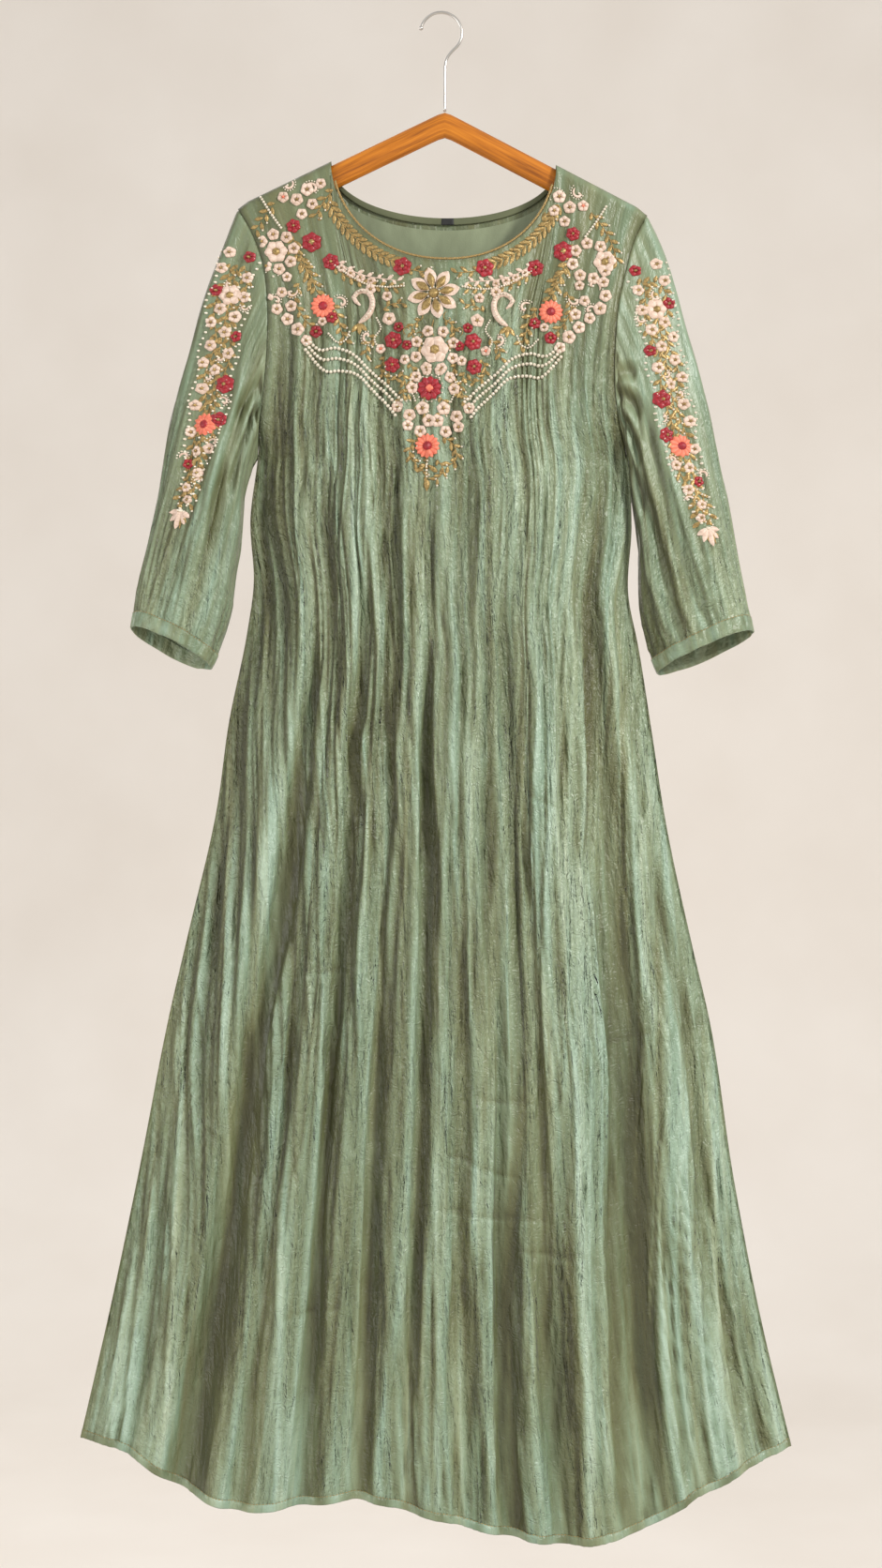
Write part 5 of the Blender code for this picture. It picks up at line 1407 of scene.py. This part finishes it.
def comma(work, x, z, size, hand):  # the large scroll with a curled head and a tail
    path = smoothPath([(x - hand * a * size / 30.0, z + b * size / 30.0) for a, b in commaPath], 60)
    cordLine(work, "cream", path, size * 0.105, (0.70, 1.0))
    for x, z in evenPath(path, 0.0030)[0][3:-2]:  # a row of beads down its back
        bead(work, x, z, 0.0010)
        work["pearl"]["points"][-1][:, 2] += size * 0.10
    for turn in (-2.2, -1.5, -0.8):
        leaf(work, path[-1, 0], path[-1, 1], turn if hand > 0 else math.pi - turn, size * 0.34, size * 0.13)


stitchLift = 0.0002  # the work's underside above the cloth


def settle(work, pivot, prefix, grid, closed, turn, replaced):  # pivot: downs and places across to turn about
    tree = BVHTree.FromPolygons(grid.reshape(-1, 3).tolist(), gridQuads(*grid.shape[:2], closed).tolist())
    toward = Vector((-math.sin(turn), math.cos(turn), 0.0))
    across = np.array((math.cos(turn), math.sin(turn), 0.0))
    made = []
    for kind, part in work.items():
        kept = []
        for flat, faces, uv in zip(part["points"], part["faces"], part["uv"]):
            middles = np.interp(-flat[:, 1], *pivot)
            placed = []
            for middle, (x, z, lift) in zip(middles, flat):
                spot = Vector(np.array((middle, 0.0, z)) + across * (x - middle))
                hit = tree.ray_cast(spot - toward * 0.4, toward)[0]
                if hit is not None:
                    placed.append(hit - toward * (lift + stitchLift))
            if len(placed) == len(flat):  # a stitch that would reach past the cloth's edge is left out
                kept.append((np.array(placed), faces, uv))
        if not kept:
            continue
        firsts = np.concatenate(([0], np.cumsum([len(row[0]) for row in kept])[:-1]))
        piece = makeMesh(prefix + kind.capitalize(), np.concatenate([row[0] for row in kept]),
                         np.concatenate([row[1] + first for row, first in zip(kept, firsts)]), threads[kind],
                         np.concatenate([row[2] for row in kept]))
        if replaced.get(kind):
            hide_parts(*replaced[kind])
        made.append(piece)
    return made


neckArc = {"centre": (0.0025, -0.1445), "radii": (0.1085, 0.0990), "tilt": -0.017}


def neckPath(offset, start, end, count):  # degrees: 0 at the right shoulder, 90 at the middle, 180 at the left
    angle = np.radians(np.linspace(start, end, count))
    (centreX, centreZ), (radiusX, radiusZ) = neckArc["centre"], neckArc["radii"]
    x = centreX + (radiusX + offset) * np.cos(angle)
    return np.stack((x, centreZ + neckArc["tilt"] * (x - centreX) - (radiusZ + offset) * np.sin(angle)), axis=1)


yokeMiddle = {"x": -0.0075, "tilt": -0.030}


def mirrored(points):  # a half, in millimetres out from the middle and down, as its left and right copies
    points = np.atleast_2d(np.array(points, float)) / 1000.0
    for hand in (-1.0, 1.0):
        x = yokeMiddle["x"] + hand * points[:, 0]
        yield hand, np.stack((x, points[:, 1] + yokeMiddle["tilt"] * (x - yokeMiddle["x"])), axis=1)


yoke = newWork()
# neckline: a leafy vine with flowers on each side
for low, high in ((22, 68), (158, 112)):
    path = neckPath(0.0105, low, high, 60)
    cordLine(yoke, "gold", path, 0.0006)
    for (x, z), way in zip(*evenPath(path, 0.0062)):
        for spread in (-0.62, 0.62):
            leaf(yoke, x, z, way + spread, 0.0098, 0.0036)
for degrees in (71, 109):
    x, z = neckPath(0.0125, degrees, degrees, 1)[0]
    flower(yoke, x, z, 0.0092, "crimson", 6)
for low, high in ((74, 84), (106, 96)):
    vine(yoke, neckPath(0.0135, low, high, 20), 0.0048, 0.0070, 0.0032)

# single flowers of a half: out from the middle, down, radius, kind, petals, heart
halfFlowers = (
    (98, -246, 8.2, "crimson", 6, "pearl"),
    (134, -212, 7.0, "crimson", 6, "pearl"),
    (121, -176, 6.6, "cream", 5, "pearl"),
    (108, -170, 5.4, "cream", 5, "pearl"),
    (131, -186, 6.4, "cream", 5, "pearl"),
    (144, -184, 5.6, "cream", 5, "coral"),
    (116, -190, 5.6, "cream", 5, "pearl"),
    (126, -200, 5.6, "cream", 5, "pearl"),
    (97, -300, 6.0, "crimson", 6, "pearl"),
    (112, -314, 6.2, "crimson", 5, "pearl"),
    (106, -304, 4.6, "cream", 5, "pearl"),
    (42, -301, 6.6, "cream", 5, "pearl"),
    (33, -309, 5.0, "crimson", 5, "pearl"),
    (38, -322, 8.6, "crimson", 6, "pearl"),
    (25, -327, 5.0, "crimson", 5, "pearl"),
    (39, -346, 7.8, "crimson", 6, "pearl"),
    (50, -330, 5.0, "cream", 5, "coral"),
    (27, -341, 5.0, "cream", 5, "pearl"),
    (60, -272, 5.4, "cream", 5, "pearl"),
    (44, -279, 5.0, "cream", 5, "pearl"),
)
for out, down, radius, kind, petals, heart in halfFlowers:
    for hand, place in mirrored((out, down)):
        flower(yoke, place[0, 0], place[0, 1], radius / 1000.0, kind, petals, 0.3 * hand, heart)
# garlands of small flowers: path and radius
halfGarlands = (
    (((163, -258), (165, -270), (160, -283), (150, -293), (139, -303), (130, -312), (121, -323)), 6.2),
    (((140, -262), (145, -272), (143, -282), (136, -290)), 5.4),
    (((34, -386), (22, -394), (10, -387)), 6.2),
    (((24, -404), (12, -409), (4, -399)), 6.0),
    (((6, -351), (16, -357), (20, -368)), 5.4),
    (((88, -252), (74, -259), (60, -264)), 4.2),
)
for path, radius in halfGarlands:
    for hand, points in mirrored(path):
        garland(yoke, smoothPath(points, 60), radius / 1000.0)
# vines of a half: path, leaf spacing, length and width, kind
halfVines = (
    (((152, -190), (164, -206), (172, -222), (176, -238)), 4.4, 8.0, 3.4, "gold"),
    (((96, -176), (104, -186), (112, -200)), 4.4, 8.0, 3.4, "gold"),
    (((134, -222), (132, -236), (126, -248), (118, -258), (112, -274)), 4.4, 9.0, 3.8, "gold"),
    (((126, -240), (122, -254), (117, -268)), 4.6, 8.0, 3.4, "gold"),
    (((94, -252), (78, -262), (60, -268), (34, -271)), 4.2, 6.6, 3.2, "gold"),
    (((94, -244), (78, -254), (60, -260), (34, -264)), 4.8, 5.6, 3.0, "cream"),
    (((128, -268), (132, -284), (126, -298), (116, -310)), 4.4, 7.0, 3.2, "gold"),
    (((100, -286), (92, -296), (88, -312), (84, -322)), 4.4, 8.0, 3.6, "gold"),
    (((48, -292), (40, -287), (30, -286)), 4.0, 6.4, 3.0, "gold"),
    (((12, -302), (20, -310), (18, -322), (10, -330)), 3.8, 6.0, 2.8, "gold"),
    (((54, -318), (62, -326), (64, -336)), 4.2, 7.0, 3.2, "gold"),
    (((46, -338), (50, -350), (42, -360), (32, -358)), 4.0, 6.0, 2.8, "gold"),
    (((30, -352), (26, -366), (30, -378)), 4.0, 7.0, 3.2, "gold"),
    (((22, -344), (18, -356), (24, -374)), 4.2, 6.0, 3.0, "gold"),
    (((6, -376), (12, -384), (8, -392)), 4.0, 6.0, 2.8, "gold"),
    (((10, -414), (20, -422), (22, -434), (14, -442)), 3.8, 7.0, 3.2, "gold"),
    (((4, -436), (10, -446), (4, -454)), 3.8, 6.0, 2.8, "gold"),
)
for path, spacing, length, width, kind in halfVines:
    for hand, points in mirrored(path):
        vine(yoke, smoothPath(points, 40), spacing / 1000, length / 1000, width / 1000, kind)
# strings of beads of a half: path and bead radius
halfStrings = (
    (((166, -184), (156, -200), (146, -214)), 1.4),
    (((96, -248), (84, -256), (66, -266), (46, -270), (28, -269)), 1.2),
    (((120, -322), (108, -332), (92, -330), (76, -336), (62, -350), (46, -364), (30, -380)), 1.8),
    (((121, -327), (106, -341), (90, -340), (74, -346), (60, -360), (44, -374), (32, -388)), 1.8),
    (((122, -332), (104, -352), (88, -352), (72, -356), (58, -370), (44, -384), (36, -394)), 1.8),
    (((100, -316), (92, -324), (84, -322), (80, -314)), 1.2),
    (((14, -352), (22, -364), (17, -380)), 1.1),
    (((3, -350), (6, -358)), 1.1),
    (((54, -300), (50, -310), (56, -320), (52, -330)), 1.1),
)
for path, radius in halfStrings:
    for hand, points in mirrored(path):
        beadLine(yoke, smoothPath(points, 80), radius * 0.00208, radius / 1000.0)
# scrolls of a half: place, size, turn, kind
halfScrolls = (
    (140, -172, 12, 2.2, "cream"), (116, -176, 14, 0.4, "cream"), (153, -262, 14, -0.6, "cream"),
    (136, -276, 12, 2.8, "cream"), (150, -286, 10, 0.4, "cream"), (88, -286, 12, 0.8, "cream"),
    (15, -300, 12, 1.9, "gold"), (24, -312, 10, -1.2, "gold"), (62, -318, 13, -1.9, "cream"),
    (12, -318, 9, 0.5, "gold"), (110, -204, 10, 1.0, "gold"), (44, -354, 9, 0.5, "gold"),
)
for out, down, size, turn, kind in halfScrolls:
    for hand, place in mirrored((out, down)):
        way = turn if hand > 0 else math.pi - turn
        thick = 0.0013 if kind == "cream" else 0.0006
        scroll(yoke, place[0, 0], place[0, 1], size / 1000.0, hand, way, kind, thick)
for hand, place in mirrored((68, -284)):
    comma(yoke, place[0, 0], place[0, 1], 0.030, -hand)
for hand, place in mirrored((150.5, -237.5)):
    posy(yoke, place[0, 0], place[0, 1], 0.0172, 8, 0.0060, 10.0)

# raised flowers where the yoke's solids are
star = np.array((-0.007, -0.2765))
for n in range(8):
    angle = math.pi * n / 4.0 + 0.2
    tip = np.array((math.cos(angle), math.sin(angle)))
    petal(yoke, "cream", star[0], star[1], angle, 0.0205, 0.0120, 0.0016, 0.0048, 1.25, 0.0006)
    petal(yoke, "gold", star[0], star[1], angle, 0.0150, 0.0078, 0.0026, 0.0052, 1.15, 0.0014, 0.0006)
    beadLine(yoke, np.array((star + 0.019 * tip, star + 0.0245 * tip)), 0.0024, 0.0010)
fringe(yoke, star[0], star[1], 0.0058, 12, 0.0012)
dome(yoke, "gold", star[0], star[1], 0.0048, 0.0034, 0.0010, 16, 5)
bead(yoke, star[0], star[1], 0.0022)
for x, z in ((-0.113, -0.286), (0.105, -0.292), (-0.013, -0.423)):
    flower(yoke, x, z, 0.0118, "coral", 14, 0.2, "crimson", 0.0034)
flower(yoke, -0.011, -0.368, 0.0116, "crimson", 10, 0.2, "coral", 0.0036)
fringe(yoke, -0.011, -0.368, 0.0128, 18, 0.0009)
for x, z in ((-0.124, -0.224), (0.117, -0.233)):
    flower(yoke, x, z, 0.0100, "crimson", 6, 0.5, "pearl", 0.0034)
for x, z, radius in ((-0.158, -0.233, 0.0112), (0.157, -0.243, 0.0112), (-0.006, -0.331, 0.0136)):
    flower(yoke, x, z, radius, "cream", 6, 0.1, "pearl", 0.0034)
posy(yoke, -0.006, -0.331, 0.0190, 8, 0.0056, 20.0)
# centre line: stem, drop and tassel of beads under the last flower
cordLine(yoke, "gold", smoothPath(((-0.007, -0.302), (-0.009, -0.312), (-0.007, -0.318)), 12), 0.0007)
beadLine(yoke, smoothPath(((-0.013, -0.437), (-0.014, -0.446), (-0.0135, -0.452)), 20), 0.0030, 0.0011)
petal(yoke, "gold", -0.0135, -0.455, -math.pi / 2, 0.011, 0.0060, 0.0022, 0.0, 0.7)
for n in (-1, 1):
    petal(yoke, "gold", -0.0135, -0.440, -math.pi / 2 + n * 0.9, 0.0110, 0.0048, 0.0016, 0.002, 1.1)
yokePieces = settle(
    yoke, ((0.0, 1.0), (0.0, 0.0)), "yoke", front["points"], False, 0.0,
    {"cream": ("star_flower", "cream_flower_left", "cream_flower_right", "cream_flower_centre"),
     "coral": ("coral_flower_centre", "coral_flower_left", "coral_flower_right"),
     "crimson": ("red_flower_centre", "red_flower_left", "red_flower_right")})
print("yoke embroidered")

# sleeve panels: drawn along the middle of each sleeve's outer face, seen from that side
sleeveDrawing = {
    "left": {"axis": ((-0.184, -0.228), (-0.193, -0.274), (-0.202, -0.330), (-0.212, -0.399),
                      (-0.226, -0.452), (-0.240, -0.500)),
             "cream": (-0.193, -0.274), "coral": (-0.212, -0.399), "turn": -35.0},
    "right": {"axis": ((0.186, -0.240), (0.196, -0.288), (0.205, -0.345), (0.215, -0.420),
                       (0.229, -0.472), (0.243, -0.518)),
              "cream": (0.196, -0.288), "coral": (0.215, -0.420), "turn": 35.0},
}
sleeveFlowers = (  # share along the panel, out to one side, radius in mm, kind
    (0.02, 0.009, 5.6, "cream"), (0.03, -0.010, 5.6, "crimson"), (0.08, 0.013, 5.6, "cream"),
    (0.10, -0.012, 5.6, "cream"), (0.16, 0.013, 6.0, "crimson"), (0.17, -0.013, 5.6, "cream"),
    (0.22, 0.006, 6.0, "cream"), (0.24, -0.008, 6.0, "cream"), (0.27, 0.012, 5.6, "cream"),
    (0.30, -0.002, 5.8, "cream"), (0.31, -0.013, 5.6, "crimson"), (0.35, 0.009, 5.8, "cream"),
    (0.37, -0.009, 5.8, "cream"), (0.41, 0.013, 5.4, "cream"), (0.43, 0.001, 5.6, "cream"),
    (0.48, -0.011, 9.2, "crimson"), (0.50, 0.010, 5.8, "cream"), (0.56, 0.013, 5.6, "cream"),
    (0.60, -0.012, 7.6, "crimson"), (0.66, 0.012, 5.4, "cream"), (0.70, -0.009, 5.4, "cream"),
    (0.72, 0.002, 5.4, "cream"), (0.77, 0.007, 5.4, "crimson"), (0.79, -0.005, 5.2, "cream"),
    (0.85, 0.002, 5.0, "cream"), (0.89, -0.003, 4.6, "cream"),
)
sleeveScrolls = (
    (0.13, 0.003, 11), (0.20, -0.014, 9), (0.39, -0.001, 10), (0.46, 0.008, 9),
    (0.54, -0.012, 9), (0.68, -0.012, 10), (0.75, 0.012, 9), (0.82, -0.008, 8),
)
for sideName, look in sleeveDrawing.items():
    work = newWork()
    hand = -1.0 if sideName == "left" else 1.0
    axis = smoothPath(look["axis"], 120)
    even, heading = evenPath(axis, 0.001)

    def offset(share, out):  # a place along the panel, out to one side of its middle
        k = int(round(share * (len(even) - 1)))
        return even[k, 0] - math.sin(heading[k]) * out, even[k, 1] + math.cos(heading[k]) * out

    for out in (-0.0175, 0.0175):  # wavy borders of beads that meet at the tip
        path = []
        for share in np.linspace(0.02, 0.93, 90):
            narrow = 1.0 - 0.80 * max(share - 0.62, 0.0) / 0.31
            path.append(offset(share, out * narrow * (1.0 + 0.13 * math.sin(share * 38.0))))
        beadLine(work, path, 0.0062, 0.0012)
    for out in (-0.0100, 0.0, 0.0100):
        path = [offset(share, out * (1.0 - 0.6 * share) * (1.0 + 0.4 * math.sin(share * 26.0 + out * 400.0)))
                for share in np.linspace(0.06, 0.90, 60)]
        vine(work, path, 0.0050, 0.0076, 0.0034)
    for share, out, radius, kind in sleeveFlowers:
        petals = 6 if radius > 6.5 else 5
        flower(work, *offset(share, out * hand), radius / 1000.0, kind, petals, 0.3 + share * 9.0)
    for share, out, size in sleeveScrolls:
        scroll(work, *offset(share, out * hand), size / 1000.0, hand, 1.2 * hand + share * 6.0, "cream", 0.0012)
    flower(work, *look["cream"], 0.0102, "cream", 6, 0.1, "pearl", 0.0034)
    flower(work, *look["coral"], 0.0110, "coral", 12, 0.1, "crimson", 0.0034)
    x, z = offset(0.93, 0.0)
    tipHeading = heading[-1]
    for spread, length in ((0.0, 0.017), (0.55, 0.013), (-0.55, 0.013), (1.15, 0.010), (-1.15, 0.010)):
        petal(work, "cream", x, z, tipHeading + spread, length, 0.0058, 0.0016, 0.001, 1.0)
        leaf(work, x, z, tipHeading + spread * 0.8 + 0.25, length * 0.9, 0.0030)
    bead(work, x, z, 0.0016)
    settle(
        work, (-axis[:, 1], axis[:, 0]), sideName + "Sleeve", sleeves[sideName]["points"], True,
        math.radians(look["turn"]),
        {"cream": ("sleeve_%s_cream_flower" % sideName,), "coral": ("sleeve_%s_coral_flower" % sideName,)})
print("sleeves embroidered")


# camera, light and floor
cameraLook = {"distance": 2.2, "height": -0.743, "frame": 1.513, "sensor": 24.0}
camera = bpy.data.cameras.new("camera")
camera.sensor_fit = "VERTICAL"
camera.sensor_height = cameraLook["sensor"]
camera.lens = cameraLook["sensor"] * cameraLook["distance"] / cameraLook["frame"]
cameraObject = bpy.data.objects.new("camera", camera)
cameraObject.location = (0.0, -cameraLook["distance"], cameraLook["height"])
cameraObject.rotation_euler = (math.pi / 2, 0.0, 0.0)
bpy.context.scene.collection.objects.link(cameraObject)
bpy.context.scene.camera = cameraObject

lightLook = (  # name, place, size, watts, colour
    ("keyLight", (2.3, -1.9, 0.75), 0.50, 84.0, (1.0, 0.985, 0.96)),
    ("fillLight", (-2.2, -1.6, -0.6), 1.6, 28.0, (0.97, 0.98, 1.0)),
    ("backLight", (-1.2, 2.2, 0.8), 2.4, 26.0, (1.0, 0.99, 0.97)),
)
for name, place, size, watts, colour in lightLook:
    light = bpy.data.lights.new(name, "AREA")
    light.size = size
    light.energy = watts
    light.color = colour
    lamp = bpy.data.objects.new(name, light)
    lamp.location = place
    lamp.rotation_euler = (Vector((0.0, 0.0, -0.7)) - Vector(place)).to_track_quat("-Z", "Y").to_euler()
    bpy.context.scene.collection.objects.link(lamp)
roomLook = {"colour": (0.955, 0.94, 0.92, 1.0), "strength": 0.80}
world = bpy.data.worlds.new("room")
world.use_nodes = True
world.node_tree.nodes["Background"].inputs["Color"].default_value = roomLook["colour"]
world.node_tree.nodes["Background"].inputs["Strength"].default_value = roomLook["strength"]
bpy.context.scene.world = world
bpy.context.scene.view_settings.view_transform = "Standard"

floorLook = {"height": -2.05, "wallDistance": 3.6, "wallTop": 4.0, "curve": 1.0, "half": 16.0}
curve = floorLook["curve"]
profile = [(-floorLook["half"], floorLook["height"])]
for angle in np.linspace(0.0, math.pi / 2, 17):
    profile.append((floorLook["wallDistance"] - curve + curve * math.sin(angle),
                    floorLook["height"] + curve * (1.0 - math.cos(angle))))
profile.append((floorLook["wallDistance"], floorLook["wallTop"]))
grid = np.array([[(x, y, z) for x in (-floorLook["half"], floorLook["half"])] for y, z in profile])
plaster, tree, shader = newMaterial("plaster", 0.9)
coordinates = put(tree, "ShaderNodeTexCoord")
cloud = put(tree, "ShaderNodeTexNoise", Scale=3.0, Detail=3.0)
tree.links.new(coordinates.outputs["Object"], cloud.inputs["Vector"])
paint(tree, shader, cloud.outputs["Fac"], ((0.3, (226, 219, 211)), (0.7, (231, 225, 218))))
mesh = bpy.data.meshes.new("floor")
mesh.from_pydata(grid.reshape(-1, 3).tolist(), [], gridQuads(len(profile), 2).tolist())
mesh.shade_smooth()
mesh.materials.append(plaster)
floor = bpy.data.objects.new("floor", mesh)
bpy.context.scene.collection.objects.link(floor)
print("stage made")
